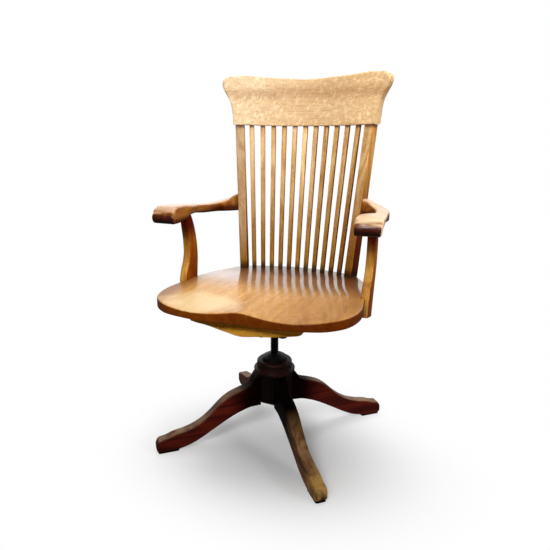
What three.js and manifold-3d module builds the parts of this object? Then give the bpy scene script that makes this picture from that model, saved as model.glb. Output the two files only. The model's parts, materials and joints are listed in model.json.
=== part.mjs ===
// Bankers swivel chair in oak and black iron: saddle seat, fanned slat back, shaped arms,
// four-legged base with an adjusting nut, and a sprung tilt iron under the seat.
// Millimetres, +Z up, the sitter faces -Y. Built around the spindle's axis, then stood on z = 0
// with its bounding box centred on the origin. Heights stack up from the floor to the crest.
import * as THREE from "three";
import { mergeVertices } from "three/addons/utils/BufferGeometryUtils.js";
import Module from "manifold-3d";

const wasm = await Module();
wasm.setup();

// Driving dimensions
const gap = 0.3; // clearance between neighbouring pieces
const overrun = 20; // how far a cutter runs past what it cuts
const deg = Math.PI / 180;
const round = { wide: 44, tube: 32, bar: 24, bolt: 14, screw: 10 }; // sides of turned pieces

const hub = {
  acrossFlats: 92,
  bottom: 105.5, // height of its underside above the floor
  height: 88,
  ringRadius: 57.5,
  ringHeight: 10,
  ringEase: 3,
  capRadius: 49,
  capHeight: 33, // ring and drum together
  lip: 7,
};
const leg = {
  reach: 339, // spindle axis to the end of the toe
  below: 2, // how far the leg's top stays below the hub's
  deep: 8, // how far the leg's root hangs below the hub
  toe: 37.5, // height of the toe's top
  halfWidthHub: 17.5,
  halfWidthToe: 15.5,
  round: 4,
  turn: 38.6 * deg, // the seat stands turned a little off the legs' diagonals
};
const tenon = { leg: 15, legWidth: 12, legTop: 14, legHeight: 58, back: 13, stile: 15, stileDepth: 18 };
const pad = { height: 4.5, length: 57, inset: 4, halfWidth: 14, corner: 5 };
const socket = { radius: 17, bore: 11.3, flangeRadius: 36, flange: 3, above: 4 };
const plate = { radius: 38, thickness: 3 };
const nut = { baseRadius: 33, topRadius: 17, height: 13, rim: 4 };
const spindle = {
  radius: 11,
  rest: 21, // height of its foot above the hub's underside
  exposed: 51.4, // adjusting nut to the shoulder
  pintleRadius: 8.5,
  pintle: 34,
  keyWidth: 4,
  keyDepth: 2.5,
  keyEnd: 10,
  ease: 1.5,
};
const head = {
  pivotLift: 52, // spindle's shoulder to the pivot pin
  pivotAhead: 10, // how far the pin lies ahead of the spindle
  radius: 21,
  crown: 7, // metal above the pintle
  cheekIn: 14,
  cheekOut: 24,
  cheekFoot: 8,
  bossWall: 6,
  flare: 6,
  web: 4,
  ribHalf: 9.5,
  ribSag: 2.5,
  noseSag: 8,
  noseRoot: 6, // height of the nose's root above the head's foot
  stopReach: 108,
  stopHalf: 10,
  stopDepth: 12,
};
const pin = { radius: 7, headRadius: 10, head: 4 };
const iron = {
  drop: 24, // pivot pin to the underside of the rails
  lug: 8.5,
  lugFoot: 12,
  railIn: 25,
  railWidth: 20,
  rail: 8,
  railEnd: 10, // how far the rails run past the bolts
  railCorner: 6,
  barHalf: 13,
  barLap: 4,
};
const tension = {
  y: 72, // spring axis behind the spindle axis
  drop: 33, // spindle's shoulder to the lug's foot
  lug: 18,
  lugRadius: 17,
  lugFootRadius: 12.5,
  screwRadius: 6,
  screwTop: 10, // guide of the screw inside the spring
  tail: 2,
  knobRadius: 21,
  knob: 15,
  lobes: 6,
  knobRoom: 2,
  seatRadius: 21,
  seat: 4,
  travel: 4.2, // how far the screw can sink from its middle setting
  wire: 5.5,
  coils: 6,
  coilRadius: 15.5,
};
const cleat = {
  setback: 41, // seat's front edge to the front cleat
  width: 40,
  halfLength: 145,
  depth: 35.2, // at its deepest
  overRail: 24.4, // wood between the rails and the seat
  rearSetback: 93, // seat's rear edge to the rear cleat's centre
  rearHalf: 125,
};
const seat = {
  thickness: 38,
  halfWidth: 262,
  front: 253, // spindle axis to the front edge
  rear: 243, // spindle axis to the rear edge
  dish: 13, // depth of the bowl below the rim
  rearDrop: 8, // how much lower the rear deck lies than the rim
  pommel: 5, // height of the ridge between the thighs
  thighDip: 6, // hollows of the front edge beside the ridge
  roundTop: 5,
  roundUnder: 3,
  liftMiddle: 6, // how far the edge is thinned from below, in the middle
  liftCorner: 12, // the same at the sides and corners
};
const back = {
  setIn: 68, // seat's rear edge to the front of the stiles
  rake: 8.2 * deg,
  stileInset: 101, // seat's widest place to the stile's middle
  splay: 4.35 * deg,
  bowFoot: 25, // how far the middle slat stands behind the stiles, at the seat
  bowHead: 35.5, // the same, under the crest rail
};
const stile = { widthFoot: 25, widthHead: 20.5, depth: 42, eased: 3 };
const slat = {
  count: 11,
  widthFoot: 12.7,
  widthHead: 13.9,
  depth: 10,
  setBack: 3,
  spaceFoot: 30, // middle of a stile to the middle of its next slat, at the seat
  spaceHead: 33.5,
  eased: 1.2,
};
const crest = {
  rise: 419, // seat's top to the lower edge at the ends
  height: 141, // lower edge to the top edge near the horns
  halfWidth: 255,
  thickness: 25,
  thicknessLow: 36,
  proud: 4, // how far it stands in front of the stiles
  sag: 5, // lower edge dips this much in the middle
  dip: 13, // top edge dips this much in the middle
  eased: 3,
};
const post = {
  setIn: 23, // seat's widest place to the post's inner face
  thickness: 22,
  halfDepth: 30,
  below: 27, // how far the heel hangs below the seat
  slant: 16, // how much higher the post's foot ends in front than at the heel
  lean: 2 * deg,
  eased: 3,
};
const arm = {
  rise: 208, // seat's top to the top of the hand rest
  thickness: 40,
  width: 70,
  nose: 117, // spindle axis to the front of the hand rest
  overhang: 27, // widest place of the hand rest beyond the post
  round: 9,
  housing: 6, // how deep the post's top enters the arm
  undercut: 6, // how far the hand rest's outer side slopes in towards its underside
};
const bolt = { radius: 4, headRadius: 8, head: 3, bite: 20 };
const screw = { radius: 2.5, headRadius: 5, head: 3, bite: 45, spread: 16, ahead: 13 };
const plug = { radius: 5.5, length: 7, proud: 0.4 };

// Levels and places worked out from the driving dimensions
const hubTop = hub.bottom + hub.height;
const capTop = hubTop + hub.capHeight;
const nutBottom = capTop + gap + socket.flange + gap;
const nutTop = nutBottom + nut.height;
const shoulder = nutTop + spindle.exposed;
const pivotY = -head.pivotAhead;
const pivotZ = shoulder + head.pivotLift;
const railBottom = pivotZ + iron.drop;
const railTop = railBottom + iron.rail;
const cleatTop = railTop + gap + cleat.overRail;
const seatBottom = cleatTop + gap;
const seatTop = seatBottom + seat.thickness;
const crestBottom = seatTop + crest.rise;
const crestTop = crestBottom + crest.height;
const armTop = seatTop + arm.rise;
const lugBottom = shoulder - tension.drop;
const lugTop = lugBottom + tension.lug;
const knobTop = lugTop + gap + tension.knob;
const springSeatLow = knobTop + tension.travel + gap;
const springSeatTop = springSeatLow + tension.seat;
const frontCleatY = cleat.setback + cleat.width / 2 - seat.front;
const rearCleatY = seat.rear - cleat.rearSetback;

// Materials
const oak = (hex, roughness = 0.42) => () =>
  new THREE.MeshStandardMaterial({ color: hex, roughness, metalness: 0 });
const castIron = () => new THREE.MeshStandardMaterial({ color: 0x17130f, roughness: 0.5, metalness: 0.6 });
const steel = () => new THREE.MeshStandardMaterial({ color: 0x2b2724, roughness: 0.4, metalness: 0.8 });
const seatOak = oak(0xb9824a, 0.35);
const backOak = oak(0xb0793a);
const armOak = oak(0x935a26, 0.38);
const legOak = oak(0x55301c);
const hubOak = oak(0x2c1710);

// Geometry helpers

// Smooth interpolation through [place, value] pairs, level at both ends.
function through(pairs, at) {
  if (at <= pairs[0][0]) return pairs[0][1];
  const last = pairs.length - 1;
  if (at >= pairs[last][0]) return pairs[last][1];
  let i = 0;
  while (at > pairs[i + 1][0]) i += 1;
  const slope = (j) => {
    if (j <= 0 || j >= last) return 0;
    const before = (pairs[j][1] - pairs[j - 1][1]) / (pairs[j][0] - pairs[j - 1][0]);
    const after = (pairs[j + 1][1] - pairs[j][1]) / (pairs[j + 1][0] - pairs[j][0]);
    return before * after <= 0 ? 0 : (2 * before * after) / (before + after);
  };
  const span = pairs[i + 1][0] - pairs[i][0];
  const t = (at - pairs[i][0]) / span;
  const rise = (3 - 2 * t) * t * t;
  const leave = t * (1 - t) * (1 - t) * span * slope(i);
  const arrive = t * t * (1 - t) * span * slope(i + 1);
  return pairs[i][1] + rise * (pairs[i + 1][1] - pairs[i][1]) + leave - arrive;
}

const clamp01 = (t) => Math.min(1, Math.max(0, t));
const smooth = (t) => clamp01(t) ** 2 * (3 - 2 * clamp01(t));

// A closed surface over rows of points, each row one closed ring, with flat or fanned ends.
function skin(rings) {
  const n = rings[0].length;
  const points = rings.flat();
  const faces = [];
  for (let r = 0; r + 1 < rings.length; r += 1) {
    for (let i = 0; i < n; i += 1) {
      const a = r * n + i;
      const b = r * n + ((i + 1) % n);
      faces.push([a, b, b + n], [a, b + n, a + n]);
    }
  }
  const end = (start, turned) => {
    const centre = new THREE.Vector3();
    for (let i = 0; i < n; i += 1) centre.add(points[start + i]);
    points.push(centre.divideScalar(n));
    const c = points.length - 1;
    for (let i = 0; i < n; i += 1) {
      const a = start + i;
      const b = start + ((i + 1) % n);
      faces.push(turned ? [c, a, b] : [c, b, a]);
    }
  };
  end(0, false);
  end((rings.length - 1) * n, true);
  return outward(points, faces);
}

// Like skin, but each end is closed by quads between its front and rear rows.
function strip(rings, rows) {
  const n = rings[0].length;
  const points = rings.flat();
  const faces = [];
  for (let r = 0; r + 1 < rings.length; r += 1) {
    for (let i = 0; i < n; i += 1) {
      const a = r * n + i;
      const b = r * n + ((i + 1) % n);
      faces.push([a, b, b + n], [a, b + n, a + n]);
    }
  }
  for (const start of [0, (rings.length - 1) * n]) {
    for (let k = 0; k + 1 < rows; k += 1) {
      const quad = [start + k, start + k + 1, start + n - 2 - k, start + n - 1 - k];
      const [a, b, c, d] = start === 0 ? quad.reverse() : quad;
      faces.push([a, b, c], [a, c, d]);
    }
  }
  return outward(points, faces);
}

// A geometry from points and faces, turned so that its faces point outwards.
function outward(points, faces) {
  let volume = 0;
  for (const [a, b, c] of faces) {
    volume += points[a].dot(new THREE.Vector3().crossVectors(points[b], points[c]));
  }
  const flat = faces.flatMap(([a, b, c]) => (volume < 0 ? [a, c, b] : [a, b, c]));
  const geometry = new THREE.BufferGeometry();
  geometry.setAttribute("position", new THREE.Float32BufferAttribute(points.flatMap((p) => p.toArray()), 3));
  geometry.setIndex(flat);
  return geometry;
}

// Corners of a rectangle with cut corners, as [across, up] pairs.
function easedBox(left, right, low, high, ease, easeLow = ease) {
  return [
    [left + easeLow, low],
    [right - easeLow, low],
    [right, low + easeLow],
    [right, high - ease],
    [right - ease, high],
    [left + ease, high],
    [left, high - ease],
    [left, low + easeLow],
  ];
}

// The same rectangle with rounded corners, three points to a corner.
function roundedBox(left, right, low, high, radius, radiusLow = radius) {
  const corners = [
    [left + radiusLow, low + radiusLow, radiusLow, 180],
    [right - radiusLow, low + radiusLow, radiusLow, 270],
    [right - radius, high - radius, radius, 0],
    [left + radius, high - radius, radius, 90],
  ];
  return corners.flatMap(([x, y, r, start]) =>
    [0, 45, 90].map((step) => {
      const angle = (start + step) * deg;
      return [x + r * Math.cos(angle), y + r * Math.sin(angle)];
    }),
  );
}

// Points of an arc about [a, b], from one angle to another.
function arcPoints(a, b, radius, from, to, steps) {
  return Array.from({ length: steps + 1 }, (_, i) => {
    const angle = (from + ((to - from) * i) / steps) * deg;
    return [a + radius * Math.cos(angle), b + radius * Math.sin(angle)];
  });
}

// A rounded upper edge of a turned piece, from its side to its top.
const quarter = (radius, top, ease) => arcPoints(radius - ease, top - ease, ease, 0, 90, 3);

// Points of a shallow curve between two [a, b] places, bent down by the sag.
function bowed(from, to, sag) {
  const middle = new THREE.Vector2((from[0] + to[0]) / 2, (from[1] + to[1]) / 2 - 2 * sag);
  const curve = new THREE.QuadraticBezierCurve(new THREE.Vector2(...from), middle, new THREE.Vector2(...to));
  return curve.getPoints(5).map((p) => [p.x, p.y]);
}

function lathe(profile, sides) {
  const geometry = new THREE.LatheGeometry(profile.map(([r, z]) => new THREE.Vector2(r, z)), sides);
  geometry.rotateX(Math.PI / 2);
  return geometry;
}

// A prism of an [a, b] outline: plane "xy" rises along Z, "yz" runs along X, "xz" runs along Y.
function prism(outline, from, to, plane) {
  const ring = (depth) =>
    outline.map(([a, b]) => {
      if (plane === "yz") return new THREE.Vector3(depth, a, b);
      if (plane === "xz") return new THREE.Vector3(a, depth, b);
      return new THREE.Vector3(a, b, depth);
    });
  const shape = outline.map(([a, b]) => new THREE.Vector2(a, b));
  const faces = THREE.ShapeUtils.triangulateShape(shape, []);
  const n = outline.length;
  const points = [...ring(from), ...ring(to)];
  const all = faces.map(([a, b, c]) => [c, b, a]);
  for (const [a, b, c] of faces) all.push([a + n, b + n, c + n]);
  for (let i = 0; i < n; i += 1) {
    const j = (i + 1) % n;
    all.push([i, j, j + n], [i, j + n, i + n]);
  }
  if (THREE.ShapeUtils.area(shape) < 0) {
    return outward(points, all.map(([a, b, c], k) => (k < 2 * faces.length ? [a, b, c] : [a, c, b])));
  }
  return outward(points, all);
}

function cylinder(radius, from, to, sides = round.bar) {
  return lathe([[0, from], [radius, from], [radius, to], [0, to]], sides);
}

// Two like plates of one [y, z] outline, one to each side of the middle.
const mirrored = (outline, inner, outer) =>
  [[inner, outer], [-outer, -inner]].map(([from, to]) => prism(outline, from, to, "yz"));

const moved = (geometry, x, y, z) => geometry.clone().translate(x, y, z);
const alongX = (geometry) => geometry.clone().rotateY(Math.PI / 2);

// Booleans
function solid(geometry) {
  const bare = geometry.clone();
  bare.deleteAttribute("normal");
  bare.deleteAttribute("uv");
  const merged = mergeVertices(bare, 1e-4);
  return new wasm.Manifold(
    new wasm.Mesh({
      numProp: 3,
      vertProperties: merged.attributes.position.array,
      triVerts: new Uint32Array(merged.index.array),
    }),
  );
}

function geometryOf(made) {
  const mesh = made.getMesh();
  const geometry = new THREE.BufferGeometry();
  geometry.setAttribute("position", new THREE.BufferAttribute(mesh.vertProperties, 3));
  geometry.setIndex(new THREE.BufferAttribute(mesh.triVerts, 1));
  return geometry;
}

const cut = (body, ...tools) =>
  geometryOf(tools.reduce((left, tool) => left.subtract(solid(tool)), solid(body)));
const join = (...bodies) => geometryOf(bodies.map(solid).reduce((all, one) => all.add(one)));

const chair = new THREE.Group();

function add(name, geometry, material, parent = chair) {
  const shown = geometry.index ? geometry.toNonIndexed() : geometry.clone();
  shown.computeVertexNormals();
  const mesh = new THREE.Mesh(shown, material());
  mesh.name = name;
  parent.add(mesh);
  return mesh;
}

// Places in the curved back

const backZero = seatTop - seat.rearDrop;
const backHigh = crestBottom - backZero;
const upShare = (z) => (z - backZero) / backHigh;
const between = (foot, top) => (z) => foot + (top - foot) * upShare(z);
const stileX = (z) => seat.halfWidth - back.stileInset + (z - backZero) * Math.tan(back.splay);
const stileY = (z) => seat.rear - back.setIn + (z - backZero) * Math.tan(back.rake);
const bow = between(back.bowFoot, back.bowHead);
const backY = (x, z) => stileY(z) + bow(z) * (1 - (x / stileX(z)) ** 2);
const backTurn = (x, z) => Math.atan((-2 * bow(z) * x) / stileX(z) ** 2);
const stileWidth = between(stile.widthFoot, stile.widthHead);
const slatWidth = between(slat.widthFoot, slat.widthHead);
const slatReach = (z) => stileX(z) - between(slat.spaceFoot, slat.spaceHead)(z);
const crestLow = (x) => crestBottom - crest.sag * (1 - (x / crest.halfWidth) ** 2);

// One length of an upright: its section is a rectangle that faces along the bow at its own place,
// from its front to its rear and half as wide to each side.
function upright(placeX, halfWidth, front, rear, low, high, eased, levels) {
  const rings = [];
  for (let i = 0; i <= levels; i += 1) {
    const z = low + ((high - low) * i) / levels;
    const x = placeX(z);
    const turn = backTurn(x, z);
    const centre = new THREE.Vector3(x, backY(x, z), z);
    const along = new THREE.Vector3(Math.cos(turn), Math.sin(turn), 0);
    const inward = new THREE.Vector3(-Math.sin(turn), Math.cos(turn), 0);
    const box = easedBox(-halfWidth(z), halfWidth(z), front, rear, eased);
    rings.push(box.map(([a, b]) => centre.clone().addScaledVector(along, a).addScaledVector(inward, b)));
  }
  return skin(rings);
}

const stilePlace = (side) => (z) => side * stileX(z);

function stileShaft(side, grow) {
  const low = backZero - tenon.back - grow;
  const high = crestLow(stileX(crestBottom)) - gap;
  const half = (z) => stileWidth(z) / 2 + grow;
  return upright(stilePlace(side), half, -grow, stile.depth + grow, low, high, stile.eased, 4);
}

function stileTenon(side, grow) {
  const low = crestBottom - tenon.stile;
  const high = crestBottom + tenon.stile + grow;
  const half = (z) => stileWidth(z) / 3 + grow;
  const front = crest.thicknessLow / 2 - crest.proud - tenon.stileDepth / 2;
  const rear = front + tenon.stileDepth;
  return upright(stilePlace(side), half, front - grow, rear + grow, low, high, stile.eased / 2, 1);
}

function slatBody(index, grow) {
  const place = (2 * index) / (slat.count - 1) - 1;
  const half = (z) => slatWidth(z) / 2 + grow;
  const low = backZero - tenon.back - grow;
  const high = crestBottom + tenon.back + grow;
  const front = slat.setBack - grow;
  const rear = slat.setBack + slat.depth + grow;
  return upright((z) => place * slatReach(z), half, front, rear, low, high, slat.eased, 2);
}

const slatIndices = Array.from({ length: slat.count }, (_, i) => i);
const sides = [["left", -1], ["right", 1]];

// Saddle seat: rings of a rounded outline over a dished top, with a rolled edge.

// Half of the plan outline as shares of the half width and of the front or rear reach.
const seatOutlineShare = [
  [0, -0.968],
  [0.24, -0.985],
  [0.52, -1],
  [0.755, -0.945],
  [0.92, -0.79],
  [0.99, -0.56],
  [0.975, -0.28],
  [0.935, 0],
  [0.905, 0.24],
  [0.86, 0.47],
  [0.775, 0.67],
  [0.69, 0.81],
  [0.52, 0.9],
  [0.26, 0.97],
  [0, 1],
];

function seatOutline(count) {
  const half = seatOutlineShare.map(
    ([x, y]) => new THREE.Vector3(x * seat.halfWidth, y * (y < 0 ? seat.front : seat.rear), 0),
  );
  const other = half.slice(1, -1).reverse().map((p) => new THREE.Vector3(-p.x, p.y, 0));
  const curve = new THREE.CatmullRomCurve3([...half, ...other], true, "centripetal");
  return curve.getSpacedPoints(count).slice(0, count);
}

const dishShare = [[0, 0.35], [0.22, 0.78], [0.5, 1], [0.75, 0.55], [1, 0.1]];
const ridgeShare = { halfWidth: 0.17, length: 0.42 };
const bevelShare = 3.2; // run of the thinned edge over its rise
const thighShare = { place: 0.42, halfWidth: 0.28, length: 0.38 };

function seatTopAt(x, y) {
  const across = Math.abs(x) / seat.halfWidth;
  const along = (y + seat.front) / (seat.front + seat.rear);
  const bowl = seat.dish * through(dishShare, along) * (1 - smooth(across)) ** 0.55 * (1 - across ** 4);
  const ridge = seat.pommel * Math.exp(-((across / ridgeShare.halfWidth) ** 2));
  const thigh = seat.thighDip * Math.exp(-(((across - thighShare.place) / thighShare.halfWidth) ** 2));
  const deck = seat.rearDrop * smooth((along - 0.5) / 0.3);
  const ridgeFade = 1 - smooth(along / ridgeShare.length);
  const thighFade = 1 - smooth(along / thighShare.length);
  return seatTop - deck - bowl + ridge * ridgeFade - thigh * thighFade;
}

function saddleSeat() {
  const outline = seatOutline(72);
  const ring = (share, inset, height) =>
    outline.map((edge) => {
      const place = edge.clone().setLength(edge.length() * share - inset(edge));
      return new THREE.Vector3(place.x, place.y, height(place.x, place.y, edge));
    });
  const liftAt = (edge) => {
    const share = smooth((Math.abs(edge.x) / seat.halfWidth - 0.15) / 0.55);
    return seat.liftMiddle + (seat.liftCorner - seat.liftMiddle) * share;
  };
  const none = () => 0;
  const top = (drop) => (x, y) => seatTopAt(x, y) - drop;
  const rings = [];
  for (const share of [0.12, 0.3, 0.46, 0.6, 0.72, 0.82, 0.91]) rings.push(ring(share, none, top(0)));
  rings.push(ring(1, () => seat.roundTop, top(0)));
  rings.push(ring(1, () => seat.roundTop * 0.3, top(seat.roundTop * 0.3)));
  rings.push(ring(1, none, top(seat.roundTop)));
  const edgeLow = (x, y, edge) => seatBottom + liftAt(edge);
  rings.push(ring(1, none, (...at) => edgeLow(...at) + seat.roundUnder));
  rings.push(ring(1, () => seat.roundUnder * 0.3, (...at) => edgeLow(...at) + seat.roundUnder * 0.3));
  rings.push(ring(1, () => seat.roundUnder, edgeLow));
  rings.push(ring(1, (edge) => seat.roundUnder + liftAt(edge) * bevelShare, () => seatBottom));
  rings.push(ring(0.5, none, () => seatBottom));
  return skin(rings);
}

// Crest rail: a bowed board with flared horns, a grid over its width and height.
const crestSideShare = [
  [0, 0.835],
  [0.28, 0.858],
  [0.46, 0.89],
  [0.6, 0.935],
  [0.72, 0.975],
  [0.85, 1],
  [0.95, 0.975],
  [1, 0.92],
];
const crestTopShare = [[0, 0], [0.38, 0.38], [0.59, 0.62], [0.83, 1], [1, 0.85]];

function crestRail() {
  const levels = [0, 0.03, 0.16, 0.28, 0.4, 0.5, 0.6, 0.7, 0.8, 0.9, 0.97, 1];
  const last = levels.length - 1;
  const stations = 32;
  const at = (s, t, into) => {
    const across = Math.abs(s);
    const low = crestLow(across * crest.halfWidth);
    const high = crestTop - crest.dip * (1 - through(crestTopShare, across));
    const x = s * crest.halfWidth * through(crestSideShare, t);
    const z = low + (high - low) * t;
    return new THREE.Vector3(x, backY(x, z) - crest.proud + into, z);
  };
  const thickness = (t) => crest.thicknessLow + (crest.thickness - crest.thicknessLow) * smooth(t / 0.7);
  const rings = [];
  for (let i = 0; i <= stations; i += 1) {
    const s = (2 * i) / stations - 1;
    const end = i === 0 || i === stations ? crest.eased : 0;
    const edge = (k) => (k === 0 || k === last ? crest.eased : 0) + end;
    const front = levels.map((t, k) => at(s, t, edge(k)));
    const rear = levels.map((t, k) => at(s, t, thickness(t) - edge(k)));
    rings.push([...front, ...rear.reverse()]);
  }
  return strip(rings, levels.length);
}

// Arm: stations from the stile to the nose. Each row: place along the arm, place across from the
// stile to the widest place, width, then underside and top as drops in shares of the thickness.
const armStationShare = [
  [0, 0.05, 0.486, 1.15, -0.1],
  [0.001, 0.193, 0.486, 1.2, -0.05],
  [0.021, 0.412, 0.5, 1.24, 0.3],
  [0.077, 0.571, 0.529, 1.22, 0.45],
  [0.166, 0.647, 0.543, 1.15, 0.475],
  [0.284, 0.689, 0.55, 1.075, 0.45],
  [0.402, 0.735, 0.571, 1, 0.375],
  [0.521, 0.756, 0.614, 0.875, 0.275],
  [0.624, 0.739, 0.8, 0.775, 0.175],
  [0.713, 0.727, 0.943, 0.75, 0.1],
  [0.802, 0.727, 1, 0.9, 0.025],
  [0.891, 0.71, 0.943, 0.975, 0],
  [0.95, 0.702, 0.886, 0.975, 0],
  [0.985, 0.697, 0.829, 0.875, 0.075],
  [1, 0.697, 0.714, 0.65, 0.325],
];
const armLevel = armTop - arm.thickness * 0.53;
const armRear = stileY(armLevel) + stile.depth * 0.45;

function armBlank(side) {
  const reach = postOuter(1) + arm.overhang;
  const root = stileX(armLevel);
  const length = armRear + arm.nose;
  const centres = armStationShare.map(
    ([along, across]) => new THREE.Vector3(root + (reach - root) * across, armRear - length * along, 0),
  );
  const path = new THREE.CatmullRomCurve3(centres, false, "centripetal");
  const last = armStationShare.length - 1;
  const column = (k) => armStationShare.map((row, i) => [i / last, row[k]]);
  const [width, under, over] = [2, 3, 4].map(column);
  const steps = 28;
  const rings = Array.from({ length: steps + 1 }, (_, i) => {
    const share = i / steps;
    const centre = path.getPoint(share);
    const ahead = path.getTangent(share);
    const outward = new THREE.Vector3(-ahead.y, ahead.x, 0).normalize();
    const half = (arm.width * through(width, share)) / 2;
    const low = armTop - arm.thickness * through(under, share);
    const high = armTop - arm.thickness * through(over, share);
    const radius = Math.min(arm.round, (high - low) * 0.45);
    const box = roundedBox(-half, half, low, high, radius, radius * 0.7);
    const undercut = arm.undercut * smooth((through(column(0), share) - 0.45) / 0.25);
    return box.map(([a, b]) => {
      const slope = a > 0 ? (undercut * (high - b)) / (high - low) : 0;
      const place = centre.clone().addScaledVector(outward, a - slope);
      return new THREE.Vector3(side * place.x, place.y, b);
    });
  });
  return skin(rings);
}

// Arm post: rows of height share, front edge and rear edge as shares of the post's half depth.
const postProfileShare = [
  [0, -1.65, 0.55],
  [0.12, -1.64, 0.62],
  [0.24, -1.57, 0.73],
  [0.365, -1.17, 0.9],
  [0.466, -0.67, 1.05],
  [0.57, -0.4, 1.1],
  [0.687, -0.37, 1.02],
  [0.82, -0.5, 0.8],
  [0.904, -0.6, 0.55],
  [0.956, -0.8, 0.35],
  [1, -0.95, 0.2],
];
const postFoot = seatBottom - post.below;
const postTop = armTop - arm.thickness * 0.75 + arm.housing;
const postInner = (share) => seat.halfWidth - post.setIn + share * (postTop - postFoot) * Math.tan(post.lean);
const postOuter = (share) => postInner(share) + post.thickness;

function postBody(side, grow) {
  const column = (k) => postProfileShare.map((row) => [row[0], row[k]]);
  const [front, rear] = [column(1), column(2)];
  const rings = [];
  const levels = 15;
  for (let i = 0; i <= levels; i += 1) {
    const share = i / levels;
    const end = (i === levels ? grow : 0) - (i === 0 ? grow : 0);
    const level = postFoot + share * (postTop - postFoot) + end;
    const low = post.halfDepth * through(front, share) - grow;
    const high = post.halfDepth * through(rear, share) + grow;
    const box = easedBox(postInner(share) - grow, postOuter(share) + grow, low, high, post.eased);
    const slant = post.slant * Math.max(0, 1 - share * 4);
    const height = (y) => level + (slant * (high - y)) / (high - low);
    rings.push(box.map(([x, y]) => new THREE.Vector3(side * x, y, height(y))));
  }
  return skin(rings);
}

// Legs: an S-curved side outline with a width that tapers to the toe, and a tenon in the hub.
// Rows: place between the hub and the toe, height between the lowest and the highest of the edge.
const legTopShare = [
  [0, 1],
  [0.03, 0.965],
  [0.054, 0.915],
  [0.088, 0.81],
  [0.132, 0.765],
  [0.187, 0.735],
  [0.293, 0.662],
  [0.375, 0.56],
  [0.484, 0.368],
  [0.566, 0.25],
  [0.655, 0.163],
  [0.751, 0.108],
  [0.84, 0.075],
  [0.904, 0.03],
  [0.973, 0],
  [1, -0.06],
];
const legUnderShare = [
  [0, 1],
  [0.091, 0.989],
  [0.19, 0.903],
  [0.293, 0.763],
  [0.392, 0.59],
  [0.491, 0.407],
  [0.587, 0.234],
  [0.686, 0.094],
  [0.781, 0.018],
  [0.815, 0],
  [0.969, 0],
  [1, 0.04],
];
const legPlaces = [
  0, 0.03, 0.054, 0.088, 0.132, 0.187, 0.24, 0.293, 0.335, 0.375, 0.43, 0.484, 0.525, 0.566,
  0.61, 0.655, 0.7, 0.751, 0.781, 0.815, 0.86, 0.904, 0.94, 0.973, 0.99, 1,
];
const legInner = hub.acrossFlats / 2 + gap;

function legTenon(grow) {
  const high = hubTop - tenon.legTop;
  const half = tenon.legWidth / 2 + grow;
  const inner = hub.acrossFlats / 2 - tenon.leg - grow;
  const outline = easedBox(-half, half, high - tenon.legHeight - grow, high + grow, tenon.legWidth / 6);
  return prism(outline, inner, legInner + tenon.leg, "yz");
}

function legBody() {
  const root = hub.bottom - leg.deep;
  const lowest = pad.height + gap;
  const rings = legPlaces.map((share) => {
    const low = lowest + (root - lowest) * through(legUnderShare, share);
    const high = leg.toe + (hubTop - leg.below - leg.toe) * through(legTopShare, share);
    const taper = smooth((share - 0.1) / 0.5);
    const tip = share > 0.995 ? leg.round : 0;
    const half = leg.halfWidthHub + (leg.halfWidthToe - leg.halfWidthHub) * taper - tip;
    const box = roundedBox(-half, half, low, high, leg.round, leg.round * 0.6);
    return box.map(([a, b]) => new THREE.Vector3(legInner + (leg.reach - legInner) * share, a, b));
  });
  return join(skin(rings), legTenon(0));
}

function padBody() {
  const outer = leg.reach - pad.inset;
  const outline = roundedBox(outer - pad.length, outer, -pad.halfWidth, pad.halfWidth, pad.corner);
  return prism(outline, 0, pad.height, "xy");
}

// Hub, socket and nut

function octagon(acrossFlats) {
  const corner = acrossFlats / 2 / Math.cos(22.5 * deg);
  return Array.from({ length: 8 }, (_, i) => {
    const angle = (22.5 + 45 * i) * deg;
    return [corner * Math.cos(angle), corner * Math.sin(angle)];
  });
}

function hubPost() {
  const bore = cylinder(socket.radius + gap, hub.bottom - overrun, hubTop + overrun, round.tube);
  const mortises = [0, 1, 2, 3].map((i) => legTenon(gap).rotateZ((i * Math.PI) / 2));
  return cut(prism(octagon(hub.acrossFlats), hub.bottom, hubTop, "xy"), bore, ...mortises);
}

function hubCap() {
  const inner = socket.radius + gap;
  const low = hubTop + gap;
  const ledge = hubTop + hub.ringHeight;
  return lathe(
    [
      [inner, low],
      [hub.ringRadius - hub.ringEase, low],
      ...quarter(hub.ringRadius, ledge, hub.ringEase),
      [hub.capRadius, ledge],
      ...quarter(hub.capRadius, capTop, hub.lip),
      [inner, capTop],
      [inner, low],
    ],
    round.wide,
  );
}

function socketTube() {
  const low = capTop + gap;
  const foot = hub.bottom + socket.above;
  return lathe(
    [
      [socket.bore, foot],
      [socket.radius, foot],
      [socket.radius, low],
      [socket.flangeRadius, low],
      [socket.flangeRadius, low + socket.flange],
      [socket.bore, low + socket.flange],
      [socket.bore, foot],
    ],
    round.tube,
  );
}

function hubPlate() {
  const top = hub.bottom - gap;
  return cylinder(plate.radius, top - plate.thickness, top, round.tube);
}

const nutBellShare = [[0, 1], [0.3, 0.8], [0.55, 0.45], [0.8, 0.15], [1, 0]];

function adjustingNut() {
  const bell = [0.2, 0.4, 0.6, 0.8, 1].map((t) => [
    nut.topRadius + (nut.baseRadius - nut.topRadius) * through(nutBellShare, t),
    nutBottom + nut.rim + (nut.height - nut.rim) * t,
  ]);
  return lathe(
    [
      [socket.bore, nutBottom],
      [nut.baseRadius - gap, nutBottom],
      [nut.baseRadius, nutBottom + nut.rim * 0.4],
      [nut.baseRadius, nutBottom + nut.rim],
      ...bell,
      [socket.bore, nutTop],
      [socket.bore, nutBottom],
    ],
    round.tube,
  );
}

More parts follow.
